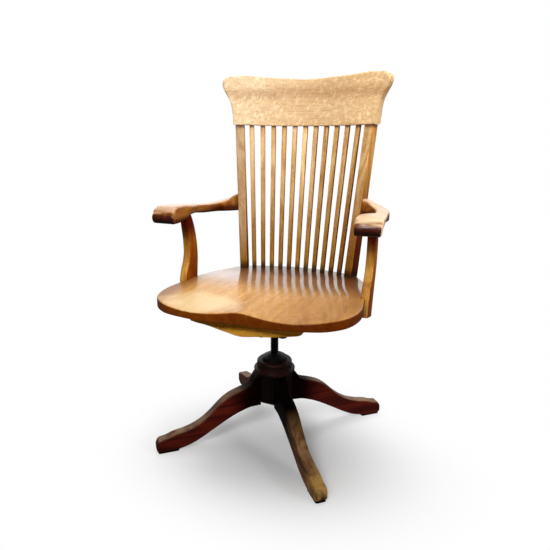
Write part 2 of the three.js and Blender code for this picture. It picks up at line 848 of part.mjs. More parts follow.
function spindleBody() {
  const low = hub.bottom + spindle.rest;
  const top = shoulder + spindle.pintle;
  const screwed = lathe(
    [
      [0, low],
      [spindle.radius - spindle.ease, low],
      [spindle.radius, low + spindle.ease],
      [spindle.radius, shoulder],
      [spindle.pintleRadius, shoulder],
      [spindle.pintleRadius, top - spindle.ease],
      [spindle.pintleRadius - spindle.ease, top],
      [0, top],
    ],
    round.tube,
  );
  const depth = spindle.radius - spindle.keyDepth;
  const half = spindle.keyWidth / 2;
  const clear = spindle.radius + overrun;
  const slot = [[-half, depth], [half, depth], [half, clear], [-half, clear]];
  return cut(screwed, prism(slot, low - overrun, shoulder - spindle.keyEnd, "xy"));
}

// Iron under the seat

const atPivot = (geometry) => moved(alongX(geometry), 0, pivotY, pivotZ);
const pinBore = () => atPivot(cylinder(pin.radius + gap, -iron.railIn * 2, iron.railIn * 2));
const bossRadius = pin.radius + head.bossWall;
const atSpring = (geometry) => moved(geometry, 0, tension.y, 0);

// The tilting head: a barrel on the pintle, two cheeks for the pin, a rear rib that carries the
// spring's lug and a nose that stops the seat iron.
function swivelHead() {
  const low = shoulder + gap;
  const pintleTop = shoulder + spindle.pintle;
  const top = pintleTop + head.crown;
  const foot = low + head.cheekFoot;
  const cheek = [
    [-head.radius, foot],
    [head.radius, foot],
    [head.radius - head.web, top],
    ...arcPoints(pivotY, pivotZ, bossRadius, 20, 160, 8),
    [-head.radius - head.flare, top - head.flare],
  ];
  const root = head.radius - head.web;
  const ribEnd = [tension.y - tension.screwRadius, lugBottom + head.web];
  const rib = [
    [0, low],
    [root, low],
    ...bowed([head.radius, low - head.web], ribEnd, -head.ribSag),
    [tension.y, lugTop],
    ...bowed([tension.y - tension.lugRadius, lugTop], [root, top - head.web], head.ribSag),
    [0, top - head.web],
  ];
  const stopTop = railBottom - gap;
  const nose = [
    [0, low + head.noseRoot],
    ...bowed([-root, low + head.noseRoot], [-head.stopReach, stopTop - head.stopDepth], head.noseSag),
    [-head.stopReach - head.stopHalf, stopTop - head.stopDepth],
    [-head.stopReach - head.stopHalf, stopTop],
    ...bowed([-head.stopReach + head.stopHalf, stopTop], [-root, top - head.noseRoot], head.noseSag),
    [0, top - head.noseRoot],
  ];
  const lug = lathe(
    [
      [0, lugBottom],
      [tension.lugFootRadius, lugBottom],
      [tension.lugRadius, lugTop - tension.lug / 3],
      [tension.lugRadius, lugTop],
      [0, lugTop],
    ],
    round.bar,
  );
  const body = join(
    cylinder(head.radius, low, top, round.tube),
    ...mirrored(cheek, head.cheekIn, head.cheekOut),
    prism(rib, -head.ribHalf, head.ribHalf, "yz"),
    prism(nose, -head.ribHalf, head.ribHalf, "yz"),
    atSpring(lug),
  );
  return cut(
    body,
    cylinder(spindle.pintleRadius + gap, low - overrun, pintleTop + gap),
    atSpring(cylinder(tension.screwRadius + gap, lugBottom - overrun, lugTop + overrun)),
    atSpring(cylinder(tension.knobRadius + tension.knobRoom, lugTop, knobTop + gap)),
    pinBore(),
  );
}

function pivotPin() {
  const reach = head.cheekOut + gap + iron.lug + gap;
  const end = reach + pin.head;
  const profile = [
    [0, -end],
    [pin.headRadius, -end],
    [pin.headRadius, -reach],
    [pin.radius, -reach],
    [pin.radius, reach],
    [pin.headRadius, reach],
    [pin.headRadius, end],
    [0, end],
  ];
  return atPivot(lathe(profile, round.bar));
}

const boltX = iron.railIn + iron.railWidth / 2;
const boltPlaces = [
  ["front_left", -boltX, frontCleatY],
  ["front_right", boltX, frontCleatY],
  ["rear_left", -boltX, rearCleatY],
  ["rear_right", boltX, rearCleatY],
];

function boltBody(x, y, grow) {
  const shelf = railBottom - gap;
  const low = shelf - bolt.head - grow;
  const top = railTop + bolt.bite + grow;
  const profile = [
    [0, low],
    [bolt.headRadius * 0.7, low],
    [bolt.headRadius + grow, low + bolt.head * 0.5],
    [bolt.headRadius + grow, shelf + grow],
    [bolt.radius + grow, shelf + grow],
    [bolt.radius + grow, top],
    [0, top],
  ];
  return moved(lathe(profile, round.bolt), x, y, 0);
}

// The two rails under the cleats, grown for the housings that the cleats give them.
function ironRails(grow) {
  const outline = easedBox(
    iron.railIn - grow,
    iron.railIn + iron.railWidth + grow,
    frontCleatY - iron.railEnd - grow,
    rearCleatY + iron.railEnd + grow,
    iron.railCorner,
  );
  const other = outline.map(([x, y]) => [-x, y]);
  return [outline, other].map((side) => prism(side, railBottom - grow, railTop + grow, "xy"));
}

function seatIron() {
  const half = iron.railIn + iron.barLap;
  const bar = (y) => {
    const outline = easedBox(-half, half, y - iron.barHalf, y + iron.barHalf, iron.barLap / 2);
    return prism(outline, railBottom, railTop, "xy");
  };
  const lugTopZ = railBottom + iron.rail / 2;
  const lug = [
    ...arcPoints(pivotY, pivotZ, bossRadius, 180, 360, 10),
    [pivotY + bossRadius + iron.lugFoot, lugTopZ],
    [pivotY - bossRadius - iron.lugFoot, lugTopZ],
  ];
  const inner = head.cheekOut + gap;
  const lugs = mirrored(lug, inner, inner + iron.lug);
  const body = join(...ironRails(0), ...lugs, bar(-head.stopReach), bar(tension.y));
  return cut(body, pinBore(), ...boltPlaces.map(([, x, y]) => boltBody(x, y, gap)));
}

function springScrew() {
  const low = lugBottom + tension.tail;
  const top = springSeatTop + tension.screwTop;
  const ease = tension.screwRadius * 0.3;
  const profile = [
    [0, low],
    [tension.screwRadius - ease, low],
    [tension.screwRadius, low + ease],
    [tension.screwRadius, springSeatLow],
    [tension.seatRadius, springSeatLow],
    [tension.seatRadius, springSeatTop],
    [tension.screwRadius, springSeatTop],
    [tension.screwRadius, top - ease],
    [tension.screwRadius - ease, top],
    [0, top],
  ];
  return atSpring(lathe(profile, round.bar));
}

function tensionKnob() {
  const count = tension.lobes * 6;
  const outline = Array.from({ length: count }, (_, i) => {
    const angle = (i / count) * 2 * Math.PI;
    const r = tension.knobRadius * (0.93 + 0.07 * Math.cos(tension.lobes * angle));
    return [r * Math.cos(angle), r * Math.sin(angle)];
  });
  const ring = (z, share) => outline.map(([x, y]) => new THREE.Vector3(x * share, y * share, z));
  const low = lugTop + gap;
  const ease = tension.knob * 0.18;
  const body = skin([ring(low, 0.9), ring(low + ease, 1), ring(knobTop - ease, 1), ring(knobTop, 0.9)]);
  return atSpring(cut(body, cylinder(tension.screwRadius + gap, low - overrun, knobTop + overrun)));
}

// Coil spring as one unbroken tube. Its end turns close up on themselves as a real one's do.
function tiltSpring() {
  const wireRadius = tension.wire / 2;
  const low = springSeatTop + gap + wireRadius;
  const high = railBottom - gap - wireRadius;
  const stepsPerTurn = 8;
  const steps = tension.coils * stepsPerTurn;
  const sidesOfWire = 5;
  const closing = 0.6; // share of the even pitch that the first and last turn rise
  const riseShare = [
    [0, 0],
    [1 / tension.coils, closing / tension.coils],
    [1 - 1 / tension.coils, 1 - closing / tension.coils],
    [1, 1],
  ];
  const upAt = (share) => {
    let k = 0;
    while (k < 2 && share > riseShare[k + 1][0]) k += 1;
    const [a, b] = [riseShare[k], riseShare[k + 1]];
    return a[1] + ((share - a[0]) / (b[0] - a[0])) * (b[1] - a[1]);
  };
  const rings = Array.from({ length: steps + 1 }, (_, i) => {
    const turn = (i / stepsPerTurn) * 2 * Math.PI;
    return Array.from({ length: sidesOfWire }, (_, k) => {
      const angle = (k / sidesOfWire) * 2 * Math.PI;
      const r = tension.coilRadius + wireRadius * Math.cos(angle);
      const z = low + upAt(i / steps) * (high - low) + wireRadius * Math.sin(angle);
      return new THREE.Vector3(r * Math.cos(turn), tension.y + r * Math.sin(turn), z);
    });
  });
  let least = Infinity;
  for (let i = 0; i < rings.length; i += 1) {
    for (let j = i + stepsPerTurn - 1; j < rings.length; j += 1) {
      for (const p of rings[i]) {
        for (const q of rings[j]) least = Math.min(least, p.distanceTo(q));
      }
    }
  }
  console.log("least gap of the spring to itself, mm:", least.toFixed(2));
  return skin(rings);
}

// Cleats: rows of place along the cleat and depth, as shares of its half length and depth. The
// front one hangs lowest left of the middle, with its longer slope towards the sitter's right.
const frontCleatShare = [
  [-1, 0.29],
  [-0.87, 0.39],
  [-0.74, 0.45],
  [-0.46, 0.7],
  [-0.26, 0.88],
  [-0.16, 0.97],
  [-0.07, 1],
  [0.03, 0.97],
  [0.2, 0.87],
  [0.44, 0.77],
  [0.8, 0.53],
  [0.91, 0.43],
  [0.97, 0.31],
  [1, 0.11],
];
const rearCleatShare = [
  [-1, 0.29],
  [-0.74, 0.48],
  [-0.45, 0.75],
  [-0.2, 0.95],
  [0, 1],
  [0.2, 0.95],
  [0.45, 0.75],
  [0.74, 0.48],
  [1, 0.29],
];

function cleatBody(rows, halfLength, middle) {
  const outline = [
    [halfLength, cleatTop],
    [-halfLength, cleatTop],
    ...rows.map(([along, down]) => [along * halfLength, cleatTop - down * cleat.depth]),
  ];
  const blank = prism(outline, middle - cleat.width / 2, middle + cleat.width / 2, "xz");
  return cut(blank, ...ironRails(gap), ...boltPlaces.map(([, x, y]) => boltBody(x, y, gap)));
}

// Screws under wooden plugs, made along Z with the face at zero and turned to their place.

function screwBody() {
  const top = -plug.length - gap;
  const shank = top - screw.head;
  return lathe(
    [[0, -screw.bite], [screw.radius, -screw.bite], [screw.radius, shank], [screw.headRadius, top], [0, top]],
    round.screw,
  );
}

function plugBody() {
  const { radius, length, proud } = plug;
  const rim = [[radius, -length], [radius, proud / 2], [radius * 0.8, proud]];
  return lathe([[0, -length], ...rim, [0, proud]], round.screw);
}

function screwHole() {
  const floor = -plug.length - gap - screw.head - gap;
  return lathe(
    [
      [0, -screw.bite - gap],
      [screw.radius + gap, -screw.bite - gap],
      [screw.radius + gap, floor],
      [plug.radius + gap, floor],
      [plug.radius + gap, overrun],
      [0, overrun],
    ],
    round.screw,
  );
}

const fitted = (geometry, spot) => moved(alongX(geometry).rotateZ(spot.turn), spot.x, spot.y, spot.z);

function postScrewSpots(side) {
  const z = seatBottom + seat.thickness / 2;
  const share = (z - postFoot) / (postTop - postFoot);
  const turn = side > 0 ? 0 : Math.PI;
  return [["front", -screw.spread], ["rear", screw.spread]].map(([name, y]) => ({
    name: `post_screw_${name}`,
    plugName: `post_plug_${name}`,
    x: side * postOuter(share),
    y: y - screw.ahead,
    z,
    turn,
  }));
}

function armScrewSpot(side) {
  const z = armLevel;
  const x = side * stileX(z);
  const turn = backTurn(x, z);
  const toInside = -side * (stileWidth(z) / 2);
  const deep = stile.depth * 0.45;
  return {
    name: "arm_screw",
    plugName: "arm_plug",
    x: x + toInside * Math.cos(turn) - deep * Math.sin(turn),
    y: backY(x, z) + toInside * Math.sin(turn) + deep * Math.cos(turn),
    z,
    turn: side > 0 ? turn + Math.PI : turn,
  };
}

// Assembly

// Base
const base = new THREE.Group();
base.rotation.z = leg.turn;
chair.add(base);
add("hub_post", hubPost(), hubOak, base);
add("hub_cap", hubCap(), hubOak);
add("spindle_socket", socketTube(), castIron);
add("hub_plate", hubPlate(), castIron);
["a", "b", "c", "d"].forEach((letter, i) => {
  const turned = new THREE.Group();
  turned.rotation.z = (i * Math.PI) / 2;
  base.add(turned);
  add(`leg_${letter}`, legBody(), legOak, turned);
  add(`foot_pad_${letter}`, padBody(), legOak, turned);
});
add("adjusting_nut", adjustingNut(), castIron);
add("spindle", spindleBody(), steel);

// Swivel and tilt iron
add("swivel_head", swivelHead(), castIron);
add("pivot_pin", pivotPin(), steel);
add("tension_knob", tensionKnob(), castIron);
add("spring_screw", springScrew(), steel);
add("tilt_spring", tiltSpring(), steel);
add("seat_iron", seatIron(), castIron);
for (const [name, x, y] of boltPlaces) add(`iron_bolt_${name}`, boltBody(x, y, 0), steel);

// Seat
add("front_cleat", cleatBody(frontCleatShare, cleat.halfLength, frontCleatY), legOak);
add("rear_cleat", cleatBody(rearCleatShare, cleat.rearHalf, rearCleatY), legOak);
const slatHoles = slatIndices.map((i) => slatBody(i, gap));
const postHoles = sides.flatMap(([, side]) => postScrewSpots(side).map((spot) => fitted(screwHole(), spot)));
const seatCutters = [
  ...slatHoles,
  ...sides.flatMap(([, side]) => [stileShaft(side, gap), postBody(side, gap)]),
  ...postHoles,
];
add("seat", cut(saddleSeat(), ...seatCutters), seatOak);

// Back
add("crest_rail", cut(crestRail(), ...slatHoles, ...sides.map(([, side]) => stileTenon(side, gap))), backOak);
for (const i of slatIndices) add(`slat_${i + 1}`, slatBody(i, 0), backOak);

// Sides
for (const [name, side] of sides) {
  const armSpot = armScrewSpot(side);
  const armHole = fitted(screwHole(), armSpot);
  const spots = postScrewSpots(side);
  const stileStick = join(stileShaft(side, 0), stileTenon(side, 0));
  add(`${name}_stile`, cut(stileStick, armHole), backOak);
  add(`${name}_arm`, cut(armBlank(side), stileShaft(side, gap), postBody(side, gap), armHole), armOak);
  add(`${name}_arm_post`, cut(postBody(side, 0), ...spots.map((spot) => fitted(screwHole(), spot))), armOak);
  for (const spot of [armSpot, ...spots]) {
    add(`${name}_${spot.name}`, fitted(screwBody(), spot), steel);
    add(`${name}_${spot.plugName}`, fitted(plugBody(), spot), spot === armSpot ? backOak : armOak);
  }
}

// Stand the chair on the floor with its box centred on the origin
const box = new THREE.Box3().setFromObject(chair);
chair.position.set(-(box.min.x + box.max.x) / 2, -(box.min.y + box.max.y) / 2, -box.min.z);
const part = new THREE.Group();
part.add(chair);
part.updateMatrixWorld(true);

export default part;
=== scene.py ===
"""Looks of an oak bankers swivel chair: fine shapes, oak and iron finishes, light and camera.

Shapes are worked out in millimetres about the spindle's axis, with the floor at zero and the
sitter facing -Y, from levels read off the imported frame, and placed in the frame in metres.
"""

import json
from math import atan, cos, exp, pi, radians, sin, sqrt, tan

import bpy
import bmesh
from mathutils import Euler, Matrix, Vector


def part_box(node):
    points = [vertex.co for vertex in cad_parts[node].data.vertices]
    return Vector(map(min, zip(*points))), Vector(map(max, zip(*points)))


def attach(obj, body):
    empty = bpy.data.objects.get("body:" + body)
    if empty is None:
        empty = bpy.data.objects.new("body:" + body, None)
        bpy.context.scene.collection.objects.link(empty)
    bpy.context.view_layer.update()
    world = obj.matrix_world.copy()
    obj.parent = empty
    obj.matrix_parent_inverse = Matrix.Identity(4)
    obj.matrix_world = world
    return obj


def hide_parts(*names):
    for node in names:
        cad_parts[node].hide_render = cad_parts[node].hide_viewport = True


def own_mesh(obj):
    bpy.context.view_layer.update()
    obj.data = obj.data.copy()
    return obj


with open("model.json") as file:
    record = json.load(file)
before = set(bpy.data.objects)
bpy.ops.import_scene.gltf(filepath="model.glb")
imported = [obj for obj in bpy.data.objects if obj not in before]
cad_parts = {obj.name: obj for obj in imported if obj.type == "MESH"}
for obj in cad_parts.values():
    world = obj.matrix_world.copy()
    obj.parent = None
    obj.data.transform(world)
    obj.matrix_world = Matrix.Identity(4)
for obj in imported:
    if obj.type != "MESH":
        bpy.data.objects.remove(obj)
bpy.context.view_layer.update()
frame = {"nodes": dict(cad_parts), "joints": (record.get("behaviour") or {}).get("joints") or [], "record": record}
record = frame["record"]

MM = 0.001
X, Y, Z = 0, 1, 2
SIDES = {"left": -1, "right": 1}
joints = {joint["name"]: joint for joint in frame["joints"]}
axis_y = joints["seat_swivel"]["pos_m"][Y] / MM
body_of = {node: body for body, nodes in record["behaviour"]["bodies"].items() for node in nodes}


def low(node, axis=Z):
    """Lowest place of a CAD node along an axis."""
    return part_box(node)[0][axis] / MM - (axis_y if axis == Y else 0)


def high(node, axis=Z):
    """Highest place of a CAD node along an axis."""
    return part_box(node)[1][axis] / MM - (axis_y if axis == Y else 0)


# Sizes

GAP = 0.3  # clearance of a bore, and of a toe above its pad
TIP = 0.01  # radius at which a turned end is closed
SEAT_WIDEST = 0.99  # the seat outline's widest share of its half width
seat = {
    "thickness": 38, "dish": 13, "rear_drop": 8, "pommel": 5, "pommel_wide": 0.17, "pommel_long": 0.42,
    "thigh_dip": 6, "thigh_at": 0.42, "thigh_wide": 0.28, "thigh_long": 0.38, "round_top": 5,
    "round_under": 3, "lift_middle": 6, "lift_corner": 12, "bevel": 3.2,
    "half": high("seat", X) / SEAT_WIDEST, "front": -low("seat", Y), "rear": high("seat", Y),
}
back = {
    "set_in": 68, "rake": radians(8.2), "inset": 101, "splay": radians(4.35),
    "bow_foot": 25, "bow_head": 35.5,
}
stile = {"foot": 24, "head": 27, "depth": 42, "depth_head": 30, "eased": 3, "short": 1}
slat = {
    "count": 11, "foot": 12.7, "head": 13.9, "depth": 10, "set_back": 3, "space_foot": 30,
    "space_head": 33.5, "eased": 1.6, "hidden": 13,
}
crest = {
    "half": high("crest_rail", X), "thickness": 25, "thickness_low": 36, "proud": 4, "sag": 5,
    "dip": 13, "eased": 3.5,
}
post = {"set_in": 23, "thickness": 22, "half_depth": 30, "slant": 16, "lean": radians(2), "eased": 3}
arm = {
    "thickness": 40, "width": 70, "overhang": 27, "round": 8, "round_low": 4, "undercut": 13,
    "nose": -low("left_arm", Y), "nose_drop": 30, "nose_round": 32, "nose_low": 9,
}
leg = {
    "turn": radians(38.6), "half_hub": 17.5, "half_toe": 15.5, "round": 4.5, "reach": 339,
    "below": 2, "deep": 8, "toe": 37.5,
}
hub = {
    "across": 92, "eased": 3, "blunt": 0.5, "ring_ease": 3, "ring_height": 10, "ring_hollow": 1.5,
    "lip": 7, "cap_radius": 49, "bore": 17,
}
nut = {"neck": 17, "rim": 4, "eased": 1.2, "radius": high("adjusting_nut", X)}
knob = {"radius": 21, "bore": 6.3, "eased": 2.7, "lobes": 6, "lobe_depth": 0.07}
cleat = {"width": 40, "depth": 35.2, "eased": 2.5, "eased_top": 0.5}
spring = {"wire": 5.5, "coils": 6, "radius": 15.5, "y": 72, "end_pitch": 0.6}
spindle = {
    "radius": 11, "root": 9.5, "pintle": 8.5, "pintle_height": 34, "key_half": 2, "key_depth": 2.5,
    "key_end": 10, "eased": 1.5, "plain": 3,
    "pitch": 2000 * pi / abs(record["behaviour"]["couplings"][0]["ratio"]),
}

# Levels

seat_bottom = low("seat")
seat_top = seat_bottom + seat["thickness"]
crest_top = high("crest_rail")
crest_bottom = low("crest_rail") + crest["sag"]
arm_top = high("left_arm")
hub_bottom, hub_top = low("hub_post"), high("hub_post")
cap_low, cap_top = low("hub_cap"), high("hub_cap")
nut_low, nut_top = low("adjusting_nut"), high("adjusting_nut")
knob_low, knob_top = low("tension_knob"), high("tension_knob")
spindle_low, spindle_top = low("spindle"), high("spindle")
shoulder = spindle_top - spindle["pintle_height"]
cleat_top = high("front_cleat")

# Curves


def through(rows, at):
    """Smooth interpolation through (place, value) rows, level at both ends."""
    if at <= rows[0][0]:
        return rows[0][1]
    last = len(rows) - 1
    if at >= rows[last][0]:
        return rows[last][1]
    i = 0
    while at > rows[i + 1][0]:
        i += 1

    def slope(j):
        if j <= 0 or j >= last:
            return 0
        before = (rows[j][1] - rows[j - 1][1]) / (rows[j][0] - rows[j - 1][0])
        after = (rows[j + 1][1] - rows[j][1]) / (rows[j + 1][0] - rows[j][0])
        return 0 if before * after <= 0 else 2 * before * after / (before + after)

    span = rows[i + 1][0] - rows[i][0]
    t = (at - rows[i][0]) / span
    rise = (3 - 2 * t) * t * t
    leave = t * (1 - t) * (1 - t) * span * slope(i)
    arrive = t * t * (1 - t) * span * slope(i + 1)
    return rows[i][1] + rise * (rows[i + 1][1] - rows[i][1]) + leave - arrive


def smooth(t):
    """0 up to 0 and 1 from 1, with an S-curve between."""
    t = min(1, max(0, t))
    return t * t * (3 - 2 * t)


def spline(points, share, closed=False):
    """Point at a share of an even walk over the points of a centripetal spline."""
    count = len(points)
    walk = (count if closed else count - 1) * share
    i = int(walk)
    weight = walk - i
    if not closed and i == count - 1:
        i, weight = count - 2, 1
    p1, p2 = Vector(points[i % count]), Vector(points[(i + 1) % count])
    p0 = Vector(points[i - 1]) if closed or i > 0 else p1 * 2 - p2
    p3 = Vector(points[(i + 2) % count]) if closed or i + 2 < count else p2 * 2 - p1
    d0, d1, d2 = ((b - a).length ** 0.5 for a, b in ((p0, p1), (p1, p2), (p2, p3)))
    t1 = ((p1 - p0) / d0 - (p2 - p0) / (d0 + d1) + (p2 - p1) / d1) * d1
    t2 = ((p2 - p1) / d1 - (p3 - p1) / (d1 + d2) + (p3 - p2) / d2) * d1
    square = p2 * 3 - p1 * 3 - t1 * 2 - t2
    cube = p1 * 2 - p2 * 2 + t1 + t2
    return p1 + t1 * weight + square * weight**2 + cube * weight**3


def spread(count):
    """Shares from 0 to 1 in even steps."""
    return [i / count for i in range(count + 1)]


def edged(length, radius, count):
    """Distances from one edge to the other, closer together at both edges."""
    near = [radius * (1 - cos(radians(15 * k))) for k in range(7)]
    inner = [radius + (length - 2 * radius) * k / count for k in range(1, count)]
    return near + inner + [length - d for d in reversed(near)]


def eased(distance, radius):
    """How far a surface lies below its face, this far from an edge of that radius."""
    inside = min(radius, max(0, radius - distance))
    return radius - sqrt(radius**2 - inside**2)


def curved(a, b, radius, start, end, steps=6):
    """Points of an arc about (a, b), from one angle to another in degrees."""
    made = []
    for k in range(steps + 1):
        angle = radians(start + (end - start) * k / steps)
        made.append((a + radius * cos(angle), b + radius * sin(angle)))
    return made


def rounded(left, right, bottom, top, radius, radius_low=None, steps=5, side=3):
    """Corner-rounded rectangle as (across, up) pairs, with some points along each side."""
    lower = radius if radius_low is None else radius_low
    corners = [
        curved(left + lower, bottom + lower, lower, 180, 270, steps),
        curved(right - lower, bottom + lower, lower, 270, 360, steps),
        curved(right - radius, top - radius, radius, 0, 90, steps),
        curved(left + radius, top - radius, radius, 90, 180, steps),
    ]
    made = []
    for corner, following in zip(corners, corners[1:] + corners[:1]):
        (x, y), (next_x, next_y) = corner[-1], following[0]
        made += corner
        for share in spread(side + 1)[1:-1]:
            made.append((x + (next_x - x) * share, y + (next_y - y) * share))
    return made


# Meshes


def stand_for(made, node):
    """Let a piece replace a CAD node, on the node's body."""
    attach(made, body_of[node])
    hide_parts(node)


def build(node, points, faces, material, sharp=50):
    """A mesh piece for a CAD node, whose edges above an angle stay sharp."""
    name = f"{node}_shape"
    mesh = bpy.data.meshes.new(name)
    mesh.from_pydata([(x * MM, (y + axis_y) * MM, z * MM) for x, y, z in points], [], faces)
    work = bmesh.new()
    work.from_mesh(mesh)
    bmesh.ops.remove_doubles(work, verts=work.verts, dist=1e-6)
    bmesh.ops.recalc_face_normals(work, faces=work.faces)
    work.to_mesh(mesh)
    work.free()
    mesh.shade_smooth()
    mesh.set_sharp_from_angle(angle=radians(sharp))
    mesh.materials.append(material)
    made = bpy.data.objects.new(name, mesh)
    bpy.context.scene.collection.objects.link(made)
    stand_for(made, node)
    return made


def middle_of(ring):
    return tuple(sum(p[k] for p in ring) / len(ring) for k in range(3))


def shrunk(ring, share=0.94):
    """A ring drawn in about its middle, which keeps a flat end's shading flat."""
    middle = middle_of(ring)
    return [tuple(middle[k] + (p[k] - middle[k]) * share for k in range(3)) for p in ring]


def skinned(rings, closed=False, capped=True):
    """Points and faces of a surface over rings of equal length, with fanned ends."""
    capped = capped and not closed
    if capped:
        rings = [shrunk(rings[0])] + list(rings) + [shrunk(rings[-1])]
    n, count = len(rings[0]), len(rings)
    points = [tuple(p) for ring in rings for p in ring]
    faces = []
    for r in range(count if closed else count - 1):
        s = (r + 1) % count
        for i in range(n):
            j = (i + 1) % n
            faces.append((r * n + i, r * n + j, s * n + j, s * n + i))
    if capped:
        for start in (0, (count - 1) * n):
            points.append(middle_of(points[start:start + n]))
            for i in range(n):
                faces.append((len(points) - 1, start + i, start + (i + 1) % n))
    return points, faces


def turned(profile, sides=96, wobble=None):
    """Rings of a turned piece from its (radius, height) profile; wobble reshapes each ring."""
    rings = []
    for radius, height in profile:
        ring = []
        for i in range(sides):
            angle = 2 * pi * i / sides
            r = radius if wobble is None else wobble(radius, height, angle)
            ring.append((r * cos(angle), r * sin(angle), height))
        rings.append(ring)
    return rings


def spun(points, angle):
    """Points turned about the spindle's axis."""
    c, s = cos(angle), sin(angle)
    return [(x * c - y * s, x * s + y * c, z) for x, y, z in points]


# Finishes

WHITE = (1, 1, 1, 1)
ALONG_X = (0.0, 0.0, 0.0)
ALONG_Y = (0.0, 0.0, radians(-90))
ALONG_Z = (0.0, radians(90), 0.0)


def linear(red, green, blue):
    """A display colour of 0 to 255 as a scene colour."""
    def one(c):
        c /= 255
        return c / 12.92 if c <= 0.04045 else ((c + 0.055) / 1.055) ** 2.4
    return (one(red), one(green), one(blue), 1)


def shade(colour, factor, plus=0):
    """A lighter or darker display colour as a scene colour."""
    return linear(*[min(255, c * factor + plus) for c in colour])


class Nodes:
    """A node tree with short calls for its nodes."""

    def __init__(self, tree):
        self.tree = tree

    def set(self, node, **inputs):
        """Set or link inputs by name, with _ for a space, or by number, as _0."""
        for key, value in inputs.items():
            socket = node.inputs[int(key[1:]) if key[0] == "_" else key.replace("_", " ")]
            if isinstance(value, bpy.types.NodeSocket):
                self.tree.links.new(value, socket)
            else:
                socket.default_value = value
        return node

    def add(self, kind, settings=None, **inputs):
        node = self.tree.nodes.new(f"ShaderNode{kind}")
        for key, value in (settings or {}).items():
            setattr(node, key, value)
        return self.set(node, **inputs)

    def calc(self, operation, a, b=0.0):
        return self.add("Math", {"operation": operation}, _0=a, _1=b).outputs[0]

    def times(self, a, b):
        return self.calc("MULTIPLY", a, b)

    def scaled(self, value, factor, plus):
        node = self.add("Math", {"operation": "MULTIPLY_ADD"}, _0=value, _1=factor, _2=plus)
        return node.outputs[0]

    def part(self, vector, axis):
        return self.add("SeparateXYZ", Vector=vector).outputs[axis]

    def mapped(self, vector, settings=None, **inputs):
        return self.add("Mapping", settings, Vector=vector, **inputs).outputs[0]

    def length(self, vector):
        return self.add("VectorMath", {"operation": "LENGTH"}, _0=vector).outputs["Value"]

    def mix(self, share, a, b, blend="MIX"):
        node = self.add("Mix", {"data_type": "RGBA", "blend_type": blend})
        return self.set(node, _0=share, _6=a, _7=b).outputs[2]

    def ramp(self, value, *stops):
        node = self.add("ValToRGB", Fac=value)
        elements = node.color_ramp.elements
        while len(elements) < len(stops):
            elements.new(0.5)
        for element, (place, colour) in zip(elements, stops):
            element.position, element.color = place, colour
        return node.outputs[0]

    def band(self, value, start, end):
        """0 before start and 1 past end, smoothly; start may lie above end."""
        node = self.add("MapRange", {"interpolation_type": "SMOOTHSTEP"})
        return self.set(node, _0=value, _1=start, _2=end, _3=0.0, _4=1.0).outputs[0]

    def noise(self, place, scale, detail=3.0, rough=0.5, distortion=0.0):
        node = self.add("TexNoise", Vector=self.mapped(place, Scale=scale), Scale=1.0, Detail=detail)
        return self.set(node, Roughness=rough, Distortion=distortion).outputs[0]


class Finish(Nodes):
    """A node material."""

    def __init__(self, name):
        self.material = bpy.data.materials.new(name)
        self.material.use_nodes = True
        super().__init__(self.material.node_tree)
        self.shader = self.tree.nodes["Principled BSDF"]

    def relief(self, height, strength, distance):
        bump = self.add("Bump", Height=height, Strength=strength, Distance=distance)
        self.set(self.shader, Normal=bump.outputs[0])


